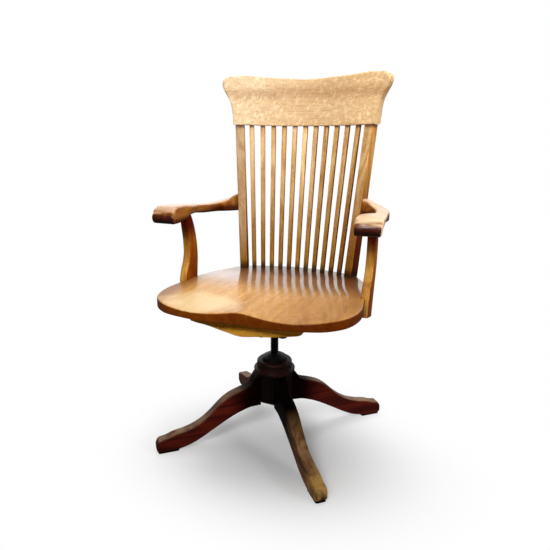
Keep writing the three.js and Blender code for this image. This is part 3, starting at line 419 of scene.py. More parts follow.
class Oak(Finish):
    """Oak with grain, pores and ray fleck. Stains, painted shade and painted highlights, and rubbed places
    follow call by call, each over those before it, and varnish() ends the material. The grain's
    turn takes the board's length to X, and the last number of a call is the most that it covers.
    """

    def __init__(self, name, tones, grain, offset=(0, 0, 0), fleck=0.35, end_dark=0.55, figure=1.0,
                 lines=0.3, fine=420, rays=(75, 520, 150), mottle=0.0):
        super().__init__(name)
        dark, middle, light = tones
        where = self.add("TexCoord")
        self.metres, self.normal = where.outputs["Object"], where.outputs["Normal"]
        self.here = self.mapped(self.metres, Location=(0, -axis_y, 0), Scale=(1 / MM, 1 / MM, 1 / MM))
        self.up = self.part(self.normal, Z)
        self.board = self.mapped(self.metres, Rotation=grain, Location=offset)
        self.dulled = None  # where the varnish is dull, and how much coat and shine it loses there
        # Growth rings, fibres and broad clouds add up to the tone
        rings = self.noise(self.board, (1.6, 15, 15), 2.0, 0.45, 0.25)
        bands = self.scaled(self.calc("SINE", self.times(rings, 46.0 * figure)), 0.5, 0.5)
        self.fibre = self.noise(self.board, (fine / 40, fine, fine), 4.0, 0.6)
        broad = self.noise(self.board, (3, 9, 9))
        tone = self.calc("ADD", self.times(bands, lines), self.times(self.fibre, 0.86 - lines - mottle))
        tone = self.calc("ADD", tone, self.times(broad, 0.28 + mottle))
        self.colour = self.ramp(tone, (0.28, linear(*dark)), (0.52, linear(*middle)), (0.8, linear(*light)))
        # Pores: short dark strokes along the grain, denser in the early wood
        strokes = self.noise(self.board, (60, 1500, 1500), 2.0)
        self.pores = self.times(self.band(strokes, 0.56, 0.68), self.scaled(bands, 0.55, 0.25))
        self.cover(self.pores, shade(dark, 0.45), 0.6)
        # Ray fleck: pale lens shapes that cross the grain at a slant
        for turn, most in ((38, fleck), (-16, fleck * 0.7)):
            slant = self.mapped(self.board, Rotation=(0.0, radians(-turn), radians(turn)))
            lenses = self.band(self.noise(slant, rays, 2.0, 0.5, 0.3), 0.55, 0.68)
            self.cover(lenses, shade(light, 1.04, 4), most)
        # End grain drinks more varnish
        facing = self.mapped(self.normal, {"vector_type": "VECTOR"}, Rotation=grain)
        ends = self.band(self.calc("ABSOLUTE", self.part(facing, X)), 0.55, 0.95)
        self.cover(ends, shade(dark, 0.55), end_dark)

    def cover(self, share, colour, most, blend="MIX"):
        """Lay a scene colour over what is there."""
        self.colour = self.mix(self.times(share, most), self.colour, colour, blend)
        return self

    def stain_and_shade(self, share, colour, most):
        """Darken what is there by a scene colour, for stains and for painted shade."""
        return self.cover(share, colour, most, "MULTIPLY")

    def along(self, axis, start, end):
        return self.band(self.part(self.here, axis), start, end)

    def away(self, x=0, y=0):
        """Distance in plan from a place."""
        return self.length(self.mapped(self.here, Location=(-x, -y, 0), Scale=(1, 1, 0)))

    def shade_along(self, axis, start, end, colour, most):
        """Paint shade, darker and darker from start to end along an axis, and past the end."""
        return self.stain_and_shade(self.along(axis, start, end), linear(*colour), most)

    def stain_streak(self, height, half_width, colour, most):
        off = self.calc("ABSOLUTE", self.calc("SUBTRACT", self.part(self.here, Z), height))
        return self.stain_and_shade(self.band(off, half_width, 0.0), linear(*colour), most)

    def shade_below(self, colour, most):
        # Painted shade on the faces that look down
        return self.stain_and_shade(self.band(self.up, 0.15, -0.4), linear(*colour), most)

    def shade_sides(self, bottom, top, colour, colour_top):
        """Paint shade on the faces towards X, with a colour that changes upwards."""
        steep = self.band(self.calc("ABSOLUTE", self.part(self.normal, X)), 0.5, 0.8)
        tint = self.mix(self.along(Z, bottom, top), linear(*colour), linear(*colour_top))
        return self.stain_and_shade(steep, tint, 1.0)

    def stain_and_shade_rim(self, colour):
        """Darken and dull all but the upward faces, partly for darker end grain and partly as painted shade."""
        steep = self.band(self.up, 0.85, 0.45)
        self.dulled = steep, 0.9, 0.6
        return self.stain_and_shade(steep, linear(*colour), 1.0)

    def blacken_core(self, near, far, most):
        """Blacken and dull towards the spindle, from far to near."""
        share = self.band(self.away(), far, near)
        self.dulled = share, 1.0, 0.9
        return self.cover(share, linear(5, 1, 1), most)

    def wear_and_highlight_colour(self, colour, dark=0.6, factor=0.5, plus=0.0):
        """A pale colour, darker along the fibres, for wear and for painted highlights."""
        return self.mix(self.scaled(self.fibre, factor, plus), linear(*colour), shade(colour, dark))

    def wear_and_highlight_top(self, colour, blotches, most, upward=(0.5, 0.95)):
        """Wear the upward faces in blotches, which also paints a highlight on them."""
        blotch = self.band(self.noise(self.metres, (22, 22, 22), 4.0, 0.65), *blotches)
        return self.cover(self.times(self.band(self.up, *upward), blotch), self.wear_and_highlight_colour(colour), most)

    def paint_outside_highlight(self, start, end, colour, most):
        """Paint a highlight on the faces that look away from the middle, from start to end along Y."""
        outward = self.times(self.part(self.normal, X), self.calc("SIGN", self.part(self.here, X)))
        share = self.times(self.band(outward, 0.3, 0.7), self.along(Y, start, end))
        return self.cover(share, self.wear_and_highlight_colour(colour), most)

    def paint_highlight_patch(self, x, y, radius, colour, most):
        """Paint a highlight in a ragged round place on the upward faces."""
        ragged = self.scaled(self.noise(self.metres, (14, 14, 14), 4.0, 0.65), 120, -60)
        share = self.band(self.calc("ADD", self.away(x, y), ragged), radius, radius * 0.35)
        share = self.times(share, self.band(self.up, 0.5, 0.9))
        return self.cover(share, self.wear_and_highlight_colour(colour, 0.8, 0.6, 0.1), most)

    def rub_toe(self, near, far, colour, most):
        """Wear the far end of a leg in blotches."""
        blotch = self.band(self.noise(self.metres, (34, 34, 34), 4.0, 0.7), 0.3, 0.6)
        return self.cover(self.times(self.band(self.away(), near, far), blotch), linear(*colour), most)

    def varnish(self, gloss=0.5, coat=0.0, specular=0.1, coat_rough=None, harder=None):
        """Lay the varnish; a harder one gains on it along Y, from a start to an end."""
        rough = self.scaled(self.noise(self.board, (9, 40, 40), 3.0, 0.6), 0.22, gloss - 0.1)
        weight, shine = coat, specular
        if self.dulled:
            share, coat_loss, shine_loss = self.dulled
            weight = self.scaled(share, -coat * coat_loss, coat)
            shine = self.scaled(share, -specular * shine_loss, specular)
        if harder:
            start, end, least = harder
            weight = self.times(weight, self.scaled(self.along(Y, start, end), 1 - least, least))
            self.set(self.shader, Coat_IOR=2.4)
        self.set(self.shader, Base_Color=self.colour, Roughness=rough, Specular_IOR_Level=shine,
                 Coat_Weight=weight, Coat_Roughness=coat_rough or max(0.05, gloss - 0.16))
        self.relief(self.calc("SUBTRACT", self.times(self.fibre, 0.5), self.pores), 0.25, 0.0004)
        return self.material


def upright_oak(name, tones, offset, foot, sides):
    """Oak of a stile or slat, with painted shade darker downwards and on its sides, and painted shadow next to the
    seat and under the crest rail.
    """
    return (
        Oak(name, tones, ALONG_Z, offset)
        .shade_along(Z, *foot, 0.97)
        .shade_sides(*sides)
        # Painted shadow where the upright meets the seat, and under the crest rail
        .shade_along(Z, 464, 437, (84, 56, 38), 0.9)
        .shade_along(Z, crest_bottom - 15, crest_bottom - 3, (112, 72, 44), 0.85)
        .varnish()
    )


def arm_oak(side, top_wear_and_highlight):
    return (
        Oak(f"arm_oak_{side}", ((92, 42, 6), (134, 76, 20), (166, 108, 44)), ALONG_Y, (0.2, 0.5, 0.1),
            fleck=0.15, end_dark=0.0)
        # Painted shade low on the arm, on the nose's front face and on the faces that look down
        .shade_along(Z, arm_top - 22, arm_top - 38, (104, 32, 10), 0.92)
        .shade_along(Y, 5 - arm["nose"], 0.5 - arm["nose"], (130, 76, 54), 0.95)
        .shade_below((110, 44, 16), 0.95)
        # Wear and a painted highlight on top, and a painted highlight on the outward faces
        .wear_and_highlight_top(*top_wear_and_highlight, upward=(0.4, 0.82))
        .paint_outside_highlight(-1, -91, (250, 214, 170), 0.9)
        .varnish(gloss=0.3, coat=0.3, specular=0.2)
    )


def leg_angle(k):
    return leg["turn"] + k * pi / 2


def leg_oak(k, tones, core, toe=None):
    """Oak of a leg, nearly black at the hub, worn and with a painted highlight on top; toe is a worn end."""
    made = Oak(f"leg_oak_{'abcd'[k]}", tones, (0.0, 0.0, -leg_angle(k)), (0.3 * k, 0.5, 0.2), fleck=0.1)
    # Wear and a painted highlight on top
    made.wear_and_highlight_top((176, 140, 102), (0.3, 0.66), 0.7).blacken_core(*core)
    if toe:
        made.rub_toe(*toe)
    return made.varnish(gloss=0.4, coat=0.05, specular=0.15)


def iron(name, colour, rough, metal, grit=0.0006):
    """Cast or turned iron under old black paint, rubbed a little in blotches."""
    f = Finish(name)
    where = f.add("TexCoord").outputs["Object"]
    blotch = f.noise(where, (60, 60, 60), 4.0, 0.6)
    paint = f.ramp(blotch, (0.35, shade(colour, 0.7)), (0.7, shade(colour, 1.35, 3)))
    rough = f.scaled(blotch, 0.3, rough - 0.15)
    f.set(f.shader, Base_Color=paint, Metallic=metal, Roughness=rough, Specular_IOR_Level=0.3)
    f.relief(f.noise(where, (900, 900, 900), 3.0, 0.6), 0.35, grit)
    return f.material


seat_oak = (
    Oak("seat_oak", ((162, 106, 46), (192, 139, 75), (216, 168, 104)), ALONG_Y, fleck=0.45, end_dark=0.0,
        figure=0.7, lines=0.16, fine=260, rays=(24, 110, 60), mottle=0.3)
    # Painted shade on all but the upward faces, partly darker end grain; painted shade to the right, at the far
    # left edge and towards the rear under the back, darkest by the slats' feet as a painted dark reflection of the
    # slats
    .stain_and_shade_rim((156, 104, 30))
    .shade_along(X, -60, 220, (206, 190, 156), 0.9)
    .shade_along(X, -180, -245, (184, 160, 130), 0.9)
    .shade_along(Y, -71, 99, (176, 150, 136), 0.9)
    .shade_along(Y, 109, 174, (150, 134, 124), 0.9)
    # A painted highlight at the front left
    .paint_highlight_patch(-125, -185, 110, (236, 206, 154), 0.85)
    .varnish(gloss=0.36, coat=1.0, specular=0.25, coat_rough=0.07, harder=(-90, 90, 0.08))
)
crest_oak = (
    Oak("crest_oak", ((188, 143, 93), (225, 188, 142), (248, 220, 180)), ALONG_X, (0.3, 0.11, 0.2), fleck=0.7,
        end_dark=0.0, figure=1.4, lines=0.1, fine=250, rays=(42, 230, 70))
    .stain_streak(950, 30, (218, 204, 192), 0.8)
    # Painted shade across the middle, which leaves both ends lighter as if lit
    .shade_along(X, -190, -60, (240, 230, 214), 0.9)
    .shade_along(X, 190, 80, (234, 234, 234), 0.9)
    .varnish(gloss=0.45, coat=0.05, specular=0.15)
)
# Painted shade on the stiles' side faces, darkest low down
stile_side_shade = (520, 760, (140, 70, 20), (246, 226, 180))
stile_oaks = {
    "left": upright_oak("stile_oak_left", ((135, 98, 58), (166, 131, 92), (188, 157, 121)),
                        (0.1, 0.3, 0.4), (650, 430, (184, 148, 10)), stile_side_shade),
    "right": upright_oak("stile_oak_right", ((164, 118, 66), (200, 156, 100), (224, 184, 130)),
                         (0.1, 1.3, 0.4), (840, 460, (160, 128, 10)), stile_side_shade),
}
slat_tones = [
    ((165, 122, 67), (199, 157, 102), (216, 183, 134)),
    ((165, 120, 67), (197, 155, 100), (216, 181, 131)),
    ((166, 123, 67), (202, 160, 104), (222, 187, 136)),
    ((156, 110, 52), (194, 148, 84), (216, 181, 121)),
    ((166, 116, 60), (200, 156, 95), (222, 187, 134)),
    ((180, 135, 73), (216, 175, 110), (236, 204, 147)),
    ((168, 121, 67), (202, 160, 104), (222, 187, 136)),
    ((148, 102, 48), (186, 141, 78), (212, 175, 114)),
    ((152, 106, 50), (190, 146, 80), (214, 179, 117)),
    ((164, 116, 58), (200, 156, 93), (222, 187, 132)),
    ((144, 96, 43), (182, 135, 71), (208, 168, 106)),
]
# The slats' side faces take painted shade too
slat_oaks = [
    upright_oak(f"slat_oak_{i + 1}", tones, (0.37 * i, 0.21 * i, 0.13 * i), (840, 460, (166, 138, 28)),
                (500, 800, (170, 104, 40), (190, 140, 90)))
    for i, tones in enumerate(slat_tones)
]
arm_oaks = {
    "left": arm_oak("left", ((206, 166, 132), (0.1, 0.5), 0.85)),
    "right": arm_oak("right", ((232, 200, 160), (0.1, 0.5), 0.92)),
}
post_oak = (
    Oak("post_oak", ((126, 72, 14), (168, 112, 40), (196, 146, 70)), ALONG_Z, (0.4, 0.2, 0.7), fleck=0.2)
    # Painted shade on the side faces, darkest low down, and a painted shadow under the arm
    .shade_sides(440, 560, (190, 130, 30), (222, 192, 116))
    .shade_along(Z, 535, 590, (146, 34, 8), 0.95)
    .varnish(gloss=0.45, specular=0.08)
)
dark_leg = ((36, 3, 1), (70, 12, 4), (98, 28, 10))
pale_leg = ((44, 18, 5), (92, 50, 18), (138, 92, 42))
leg_oaks = [
    leg_oak(0, dark_leg, (80, 150, 0.97)),
    leg_oak(1, dark_leg, (60, 110, 0.97)),
    leg_oak(2, dark_leg, (80, 150, 0.97)),
    leg_oak(3, pale_leg, (130, 215, 1.0), (260, 310, (190, 146, 78), 0.85)),
]
cleat_oak = (
    Oak("cleat_oak", ((160, 90, 8), (212, 137, 26), (236, 174, 60)), ALONG_X, (0.6, 0.2, 0.4), fleck=0.4)
    .varnish()
)
hub_oak = Oak("hub_oak", ((3, 1, 1), (8, 2, 1), (22, 6, 4)), ALONG_Z, fleck=0.0).varnish()
cap_oak = (
    Oak("cap_oak", ((8, 1, 1), (20, 4, 2), (42, 13, 7)), ALONG_X, fleck=0.0)
    .varnish(gloss=0.45, coat=0.05, specular=0.15)
)
plug_oak = (
    Oak("plug_oak", ((110, 66, 20), (146, 94, 36), (170, 116, 52)), ALONG_X, end_dark=0.3)
    .varnish(gloss=0.34, coat=0.3, specular=0.4)
)
cast_iron = iron("cast_iron", (12, 9, 8), 0.5, 0.1)
steel = iron("steel", (16, 13, 12), 0.4, 0.5, 0.0002)


# Stiles and slats of the curved back

back_zero = seat_top - seat["rear_drop"]
back_high = crest_bottom - back_zero


def between(foot, head):
    """A size that changes evenly up the back, as a function of the height."""
    return lambda z: foot + (head - foot) * (z - back_zero) / back_high


def stile_x(z):
    return seat["half"] - back["inset"] + (z - back_zero) * tan(back["splay"])


def stile_y(z):
    return seat["rear"] - back["set_in"] + (z - back_zero) * tan(back["rake"])


bow = between(back["bow_foot"], back["bow_head"])
slat_space = between(slat["space_foot"], slat["space_head"])


def back_y(x, z):
    """Front of the bowed back at a place."""
    return stile_y(z) + bow(z) * (1 - (x / stile_x(z)) ** 2)


def bow_turn(x, z):
    """How far the bow is turned at a place, in radians."""
    return atan(-2 * bow(z) * x / stile_x(z) ** 2)


def upright(node, material, place_x, width, front, rear, top, radius, levels):
    """A bent upright whose section faces along the bow at its own place."""
    bottom = back_zero - slat["hidden"]
    rings = []
    for share in spread(levels):
        z = bottom + (top - bottom) * share
        x = place_x(z)
        y = back_y(x, z)
        c, s = cos(bow_turn(x, z)), sin(bow_turn(x, z))
        box = rounded(-width(z) / 2, width(z) / 2, front, rear(z), radius, steps=4, side=1)
        rings.append([(x + a * c - b * s, y + a * s + b * c, z) for a, b in box])
    build(node, *skinned(rings), material)


for name, side in SIDES.items():
    upright(f"{name}_stile", stile_oaks[name], lambda z: side * stile_x(z),
            between(stile["foot"], stile["head"]), 0, between(stile["depth"], stile["depth_head"]),
            crest_bottom - stile["short"], stile["eased"], 60)

for i in range(slat["count"]):
    place = 2 * i / (slat["count"] - 1) - 1
    upright(f"slat_{i + 1}", slat_oaks[i], lambda z: place * (stile_x(z) - slat_space(z)),
            between(slat["foot"], slat["head"]), slat["set_back"], lambda z: slat["set_back"] + slat["depth"],
            crest_bottom + slat["hidden"], slat["eased"], 40)

# Seat

# Shares of the half width and of the depth before or behind the spindle, for one half
SEAT_OUTLINE = [
    (0, -0.968), (0.24, -0.985), (0.52, -1), (0.755, -0.945), (0.92, -0.79), (0.99, -0.56), (0.975, -0.28),
    (0.935, 0), (0.905, 0.24), (0.86, 0.47), (0.775, 0.67), (0.69, 0.81), (0.52, 0.9), (0.26, 0.97), (0, 1),
]
# Shares of the way to the rear and of the dish's depth
DISH = [(0, 0.35), (0.22, 0.78), (0.5, 1), (0.75, 0.55), (1, 0.1)]


def saddle(spot):
    """Height of the top: a dish, a ridge at the front middle and dips for the thighs."""
    across = min(1, abs(spot.x) / seat["half"])
    along = (spot.y + seat["front"]) / (seat["front"] + seat["rear"])
    bowl = seat["dish"] * through(DISH, along) * (1 - smooth(across)) ** 0.55 * (1 - across**4)
    ridge = seat["pommel"] * exp(-((across / seat["pommel_wide"]) ** 2))
    thigh = seat["thigh_dip"] * exp(-(((across - seat["thigh_at"]) / seat["thigh_wide"]) ** 2))
    ridge *= 1 - smooth(along / seat["pommel_long"])
    thigh *= 1 - smooth(along / seat["thigh_long"])
    return seat_top - seat["rear_drop"] * smooth((along - 0.5) / 0.3) - bowl + ridge - thigh


def even_outline(points, count, fine=2000):
    """Evenly spaced points of a closed spline."""
    walk = [spline(points, k / fine, True) for k in range(fine)]
    lengths = [0]
    for k in range(1, fine + 1):
        lengths.append(lengths[-1] + (walk[k % fine] - walk[k - 1]).length)
    made, k = [], 0
    for i in range(count):
        goal = lengths[-1] * i / count
        while lengths[k + 1] < goal:
            k += 1
        t = (goal - lengths[k]) / (lengths[k + 1] - lengths[k])
        made.append(walk[k].lerp(walk[(k + 1) % fine], t))
    return made


def saddle_seat():
    half = [
        Vector((x * seat["half"], y * (seat["front"] if y < 0 else seat["rear"]), 0)) for x, y in SEAT_OUTLINE
    ]
    outline = even_outline(half + [Vector((-p.x, p.y, 0)) for p in reversed(half[1:-1])], 360)
    rings = []

    def ring(share, inset, height):
        """Add the outline, drawn in to a share of its size and by an inset."""
        made = []
        for edge in outline:
            spot = edge.normalized() * (edge.length * share - inset(edge))
            made.append((spot.x, spot.y, height(spot, edge)))
        rings.append(made)

    def lift(edge):
        """How far the underside's edge is raised, most at the sides."""
        share = smooth((abs(edge.x) / seat["half"] - 0.15) / 0.55)
        return seat["lift_middle"] + (seat["lift_corner"] - seat["lift_middle"]) * share

    over, under = seat["round_top"], seat["round_under"]
    for step in spread(60):
        share = 0.02 + 0.98 * step
        ring(share, lambda edge: over * share, lambda spot, edge: saddle(spot))
    for angle in range(15, 91, 15):
        inset = over * (1 - sin(radians(angle)))
        drop = over * (1 - cos(radians(angle)))
        ring(1, lambda edge: inset, lambda spot, edge: saddle(spot) - drop)
    for angle in range(0, 76, 15):
        inset = under * (1 - cos(radians(angle)))
        rise = under * (1 - sin(radians(angle)))
        ring(1, lambda edge: inset, lambda spot, edge: seat_bottom + lift(edge) + rise)
    for share in spread(4)[1:]:
        ring(1, lambda edge: under + lift(edge) * seat["bevel"] * share,
             lambda spot, edge: seat_bottom + lift(edge) * (1 - share))
    ring(0.5, lambda edge: 0, lambda spot, edge: seat_bottom)
    build("seat", *skinned(rings), seat_oak)


saddle_seat()

# Crest rail

# Shares of the way up and of the half width
CREST_SIDE = [
    (0, 0.835), (0.28, 0.852), (0.46, 0.876), (0.6, 0.914), (0.72, 0.95), (0.85, 0.972), (0.95, 0.949),
    (1, 0.895),
]
# Shares of the way outwards and of the dip that is filled
CREST_TOP = [(0, 0), (0.38, 0.38), (0.59, 0.62), (0.83, 1), (1, 0.85)]


def crest_rail():
    tall, wide = crest_top - crest_bottom, 2 * crest["half"]
    radius = crest["eased"]

    def spot(s, t, into):
        """A place across from -1 to 1 and up from 0 to 1, this far behind the front face."""
        across = abs(s)
        bottom = crest_bottom - crest["sag"] * (1 - across**2)
        top = crest_top - crest["dip"] * (1 - through(CREST_TOP, across))
        x = s * crest["half"] * through(CREST_SIDE, t)
        z = bottom + (top - bottom) * t
        turn = bow_turn(x, z)
        return (x - into * sin(turn), back_y(x, z) - crest["proud"] + into * cos(turn), z)

    def inset(side, near):
        """How far a face is eased, by its distances from two edges."""
        one, two = max(0, radius - side), max(0, radius - near)
        return radius - sqrt(max(0, radius**2 - one**2 - two**2))

    rings = []
    levels = edged(tall, radius, 30)
    for a in edged(wide, radius, 110):
        s = 2 * a / wide - 1
        front, rear = [], []
        for b in levels:
            t = b / tall
            ease = inset(min(a, wide - a), min(b, tall - b))
            thick = crest["thickness_low"] + (crest["thickness"] - crest["thickness_low"]) * smooth(t / 0.7)
            front.append(spot(s, t, ease))
            rear.append(spot(s, t, thick - ease))
        rings.append(front + rear[::-1])
    points, faces = skinned(rings, capped=False)
    n = len(rings[0])
    for start in (0, (len(rings) - 1) * n):
        for k in range(len(levels) - 1):
            faces.append((start + k, start + k + 1, start + n - 2 - k, start + n - 1 - k))
    build("crest_rail", points, faces, crest_oak)


crest_rail()

# Arms and their posts

# Shares of the way forward and outward, of the width, and of the thickness down to the underside
# and the top
ARM_STATIONS = [
    (0, 0.05, 0.486, 1.15, -0.1), (0.001, 0.193, 0.486, 1.2, -0.05), (0.021, 0.412, 0.5, 1.24, 0.3),
    (0.077, 0.571, 0.529, 1.22, 0.45), (0.166, 0.647, 0.543, 1.15, 0.475), (0.284, 0.689, 0.55, 1.075, 0.45),
    (0.402, 0.735, 0.571, 1, 0.375), (0.521, 0.756, 0.614, 0.875, 0.275), (0.624, 0.739, 0.8, 0.775, 0.175),
    (0.713, 0.727, 0.943, 0.75, 0.1), (0.802, 0.725, 0.985, 0.92, 0.025), (0.88, 0.725, 0.975, 1.04, 0),
    (0.925, 0.725, 0.965, 1.07, 0), (0.955, 0.727, 0.96, 1.07, 0), (0.975, 0.728, 0.95, 1.07, 0),
    (0.988, 0.73, 0.94, 1.07, 0), (0.996, 0.73, 0.92, 1.07, 0), (1, 0.73, 0.89, 1.07, 0),
]
# Shares of the way forward and of the undercut
ARM_UNDERCUT = [(0.25, 0), (0.55, 1), (0.8, 0.8), (1, 0.3)]
# Shares of the way up, and of the half depth at the front and the rear
POST_PROFILE = [
    (0, -1.65, 0.55), (0.12, -1.64, 0.62), (0.24, -1.57, 0.73), (0.365, -1.17, 0.9), (0.466, -0.67, 1.05),
    (0.57, -0.4, 1.1), (0.687, -0.37, 1.02), (0.82, -0.5, 0.8), (0.904, -0.6, 0.55), (0.956, -0.8, 0.35),
    (1, -0.95, 0.2),
]
arm_level = arm_top - arm["thickness"] * 0.53
arm_rear = stile_y(arm_level) + stile["depth"] * 0.45
post_foot, post_top = low("left_arm_post"), high("left_arm_post")


def post_inner(share):
    """How far out a post's inner face is, at a share of its height."""
    return seat["half"] - post["set_in"] + share * (post_top - post_foot) * tan(post["lean"])


def arm_shape(name, side):
    reach = post_inner(1) + post["thickness"] + arm["overhang"]
    root = stile_x(arm_level)
    length = arm_rear + arm["nose"]
    centres = [Vector((root + (reach - root) * row[1], arm_rear - length * row[0], 0)) for row in ARM_STATIONS]
    last = len(ARM_STATIONS) - 1
    along, width, under, over = (
        [(i / last, row[column]) for i, row in enumerate(ARM_STATIONS)] for column in (0, 2, 3, 4)
    )
    rings = []
    for share in spread(150):
        centre = spline(centres, share)
        step = 1e-4
        ahead = spline(centres, min(1, share + step)) - spline(centres, max(0, share - step))
        outward = Vector((-ahead.y, ahead.x, 0)).normalized()
        half = arm["width"] * through(width, share) / 2
        from_nose = centre.y + arm["nose"]
        drop = arm["nose_drop"] * eased(from_nose, arm["nose_round"]) / arm["nose_round"]
        top = arm_top - arm["thickness"] * through(over, share) - drop
        bottom = arm_top - arm["thickness"] * through(under, share) + eased(from_nose, arm["nose_low"])
        radius = min(arm["round"], (top - bottom) * 0.45)
        undercut = arm["undercut"] * through(ARM_UNDERCUT, through(along, share))
        ring = []
        for a, b in rounded(-half, half, bottom, top, radius, min(arm["round_low"], radius)):
            slope = undercut * (top - b) / (top - bottom) if a > 0 else 0
            spot = centre + outward * (a - slope)
            ring.append((side * spot.x, spot.y, b))
        rings.append(ring)
    build(f"{name}_arm", *skinned(rings), arm_oaks[name])


def post_shape(name, side):
    front, rear = ([(row[0], row[column]) for row in POST_PROFILE] for column in (1, 2))
    rings = []
    for share in spread(80):
        level = post_foot + share * (post_top - post_foot)
        near, far = post["half_depth"] * through(front, share), post["half_depth"] * through(rear, share)
        inner = post_inner(share)
        slant = post["slant"] * max(0, 1 - share * 4)
        rings.append([
            (side * x, y, level + slant * (far - y) / (far - near))
            for x, y in rounded(inner, inner + post["thickness"], near, far, post["eased"], steps=4)
        ])
    build(f"{name}_arm_post", *skinned(rings), post_oak)


for name, side in SIDES.items():
    arm_shape(name, side)
    post_shape(name, side)

# Legs

# Shares of the way outwards and of the height, on top and underneath
LEG_TOP = [
    (0, 1), (0.03, 0.965), (0.054, 0.915), (0.088, 0.81), (0.132, 0.765), (0.187, 0.735), (0.293, 0.662),
    (0.375, 0.56), (0.484, 0.368), (0.566, 0.25), (0.655, 0.163), (0.751, 0.108), (0.84, 0.075),
    (0.904, 0.03), (0.973, 0), (1, -0.06),
]
LEG_UNDER = [
    (0, 1), (0.091, 0.989), (0.19, 0.903), (0.293, 0.763), (0.392, 0.59), (0.491, 0.407), (0.587, 0.234),
    (0.686, 0.094), (0.781, 0.018), (0.815, 0), (0.969, 0), (1, 0.04),
]


def leg_rings():
    inner = hub["across"] / 2
    root, lowest = hub_bottom - leg["deep"], high("foot_pad_a") + GAP
    length = leg["reach"] - inner
    toe = [length - leg["round"] * (1 - sin(radians(15 * k))) for k in range(7)]
    rings = []
    for along in sorted([length * share for share in spread(120)[:-1]] + toe):
        share = along / length
        tip = eased(length - along, leg["round"])
        bottom = lowest + (root - lowest) * through(LEG_UNDER, share) + tip * 0.6
        top = leg["toe"] + (hub_top - leg["below"] - leg["toe"]) * through(LEG_TOP, share) - tip
        half = leg["half_hub"] + (leg["half_toe"] - leg["half_hub"]) * smooth((share - 0.1) / 0.5) - tip
        box = rounded(-half, half, bottom, top, leg["round"], leg["round"] * 0.6, steps=4)
        rings.append([(inner + along, a, b) for a, b in box])
    return rings


for k, letter in enumerate("abcd"):
    points, faces = skinned(leg_rings())
    build(f"leg_{letter}", spun(points, leg_angle(k)), faces, leg_oaks[k])

# Hub and turned pieces


def hub_post():
    """An eight-sided block with blunt corners and an eased lower edge."""
    half, ease, eighth = hub["across"] / 2, hub["eased"], radians(45)
    levels = [(0, ease), (ease * 0.3, ease * 0.3), (ease, 0), (hub_top - hub_bottom, 0)]
    rings = []
    for above, inset in levels:
        ring = []
        for i in range(8):
            for off in map(radians, (-2.5, -1.2, 0, 1.2, 2.5)):
                blunt = 0 if off else hub["blunt"]
                r = half / cos(eighth / 2 - abs(off)) - blunt - inset
                angle = eighth * (i + 0.5) + off
                ring.append((r * cos(angle), r * sin(angle), hub_bottom + above))
        rings.append(spun(ring, leg["turn"]))
    build("hub_post", *skinned(rings), hub_oak)


def hub_cap():
    ledge, radius = hub_top + hub["ring_height"], hub["cap_radius"]
    ring_radius = high("hub_cap", X)
    ease, hollow, lip = hub["ring_ease"], hub["ring_hollow"], hub["lip"]
    profile = (
        [(hub["bore"], cap_low), (ring_radius - 1, cap_low)]
        + curved(ring_radius - ease, ledge - ease, ease, 0, 90)
        + [(radius + hollow, ledge)]
        + curved(radius + hollow, ledge + hollow, hollow, 270, 180, 3)
        + curved(radius - lip, cap_top - lip, lip, 0, 90, 8)
        + [(hub["bore"], cap_top)]
    )
    build("hub_cap", *skinned(turned(profile), closed=True), cap_oak, sharp=35)


# Shares of the way up and of the width between the neck and the rim
NUT_BELL = [(0, 1), (0.3, 0.8), (0.55, 0.45), (0.8, 0.15), (1, 0)]


def adjusting_nut():
    bore, ease, neck, radius = spindle["radius"] + GAP, nut["eased"], nut["neck"], nut["radius"]
    rim = nut_low + nut["rim"]
    profile = (
        [(bore, nut_low), (radius - 1, nut_low)]
        + curved(radius - ease, nut_low + ease, ease, 270, 360, 3)
        + curved(radius - ease, rim - ease, ease, 0, 90, 3)
        + [(neck + (radius - neck) * through(NUT_BELL, t), rim + (nut_top - rim) * t) for t in spread(20)[1:]]
        + [(bore, nut_top)]
    )
    build("adjusting_nut", *skinned(turned(profile), closed=True), cast_iron, sharp=35)


def threaded(radius, height, angle):
    """Spindle surface: a square-shouldered thread with a key slot down one side."""
    made = radius
    if radius == spindle["radius"] and height < shoulder - spindle["plain"]:
        phase = (height / spindle["pitch"] - angle / (2 * pi)) % 1
        made = spindle["root"] + (radius - spindle["root"]) * smooth((abs(phase - 0.5) * 2 - 0.3) / 0.3)
    off = angle - pi / 2
    if height < shoulder - spindle["key_end"] and radius > spindle["pintle"] and cos(off) > 0:
        floor = (spindle["radius"] - spindle["key_depth"]) / cos(off)
        if abs(sin(off)) * made < spindle["key_half"]:
            made = min(made, floor)
    return made


def threaded_spindle():
    radius, pintle, ease = spindle["radius"], spindle["pintle"], spindle["eased"]
    length = shoulder - spindle_low - ease
    profile = (
        [(TIP, spindle_low), (radius - ease, spindle_low)]
        + [(radius, spindle_low + ease + length * share) for share in spread(int(length / 0.45))]
        + [(pintle, shoulder), (pintle, spindle_top - ease), (pintle - ease, spindle_top), (TIP, spindle_top)]
    )
    build("spindle", *skinned(turned(profile, 72, threaded)), steel, sharp=40)


def lobed(radius, height, angle):
    """Knob surface: lobes around it, but not in its bore."""
    depth = knob["lobe_depth"]
    return radius if radius <= knob["bore"] else radius * (1 - depth + depth * cos(knob["lobes"] * angle))


def tension_knob():
    radius, ease = knob["radius"], knob["eased"]
    profile = (
        [(knob["bore"], knob_low), (radius - 3, knob_low)]
        + curved(radius - ease, knob_low + ease, ease, 270, 360)
        + curved(radius - ease, knob_top - ease, ease, 0, 90)
        + [(knob["bore"], knob_top)]
    )
    rings = [[(x, y + spring["y"], z) for x, y, z in ring] for ring in turned(profile, 144, lobed)]
    build("tension_knob", *skinned(rings, closed=True), cast_iron, sharp=35)


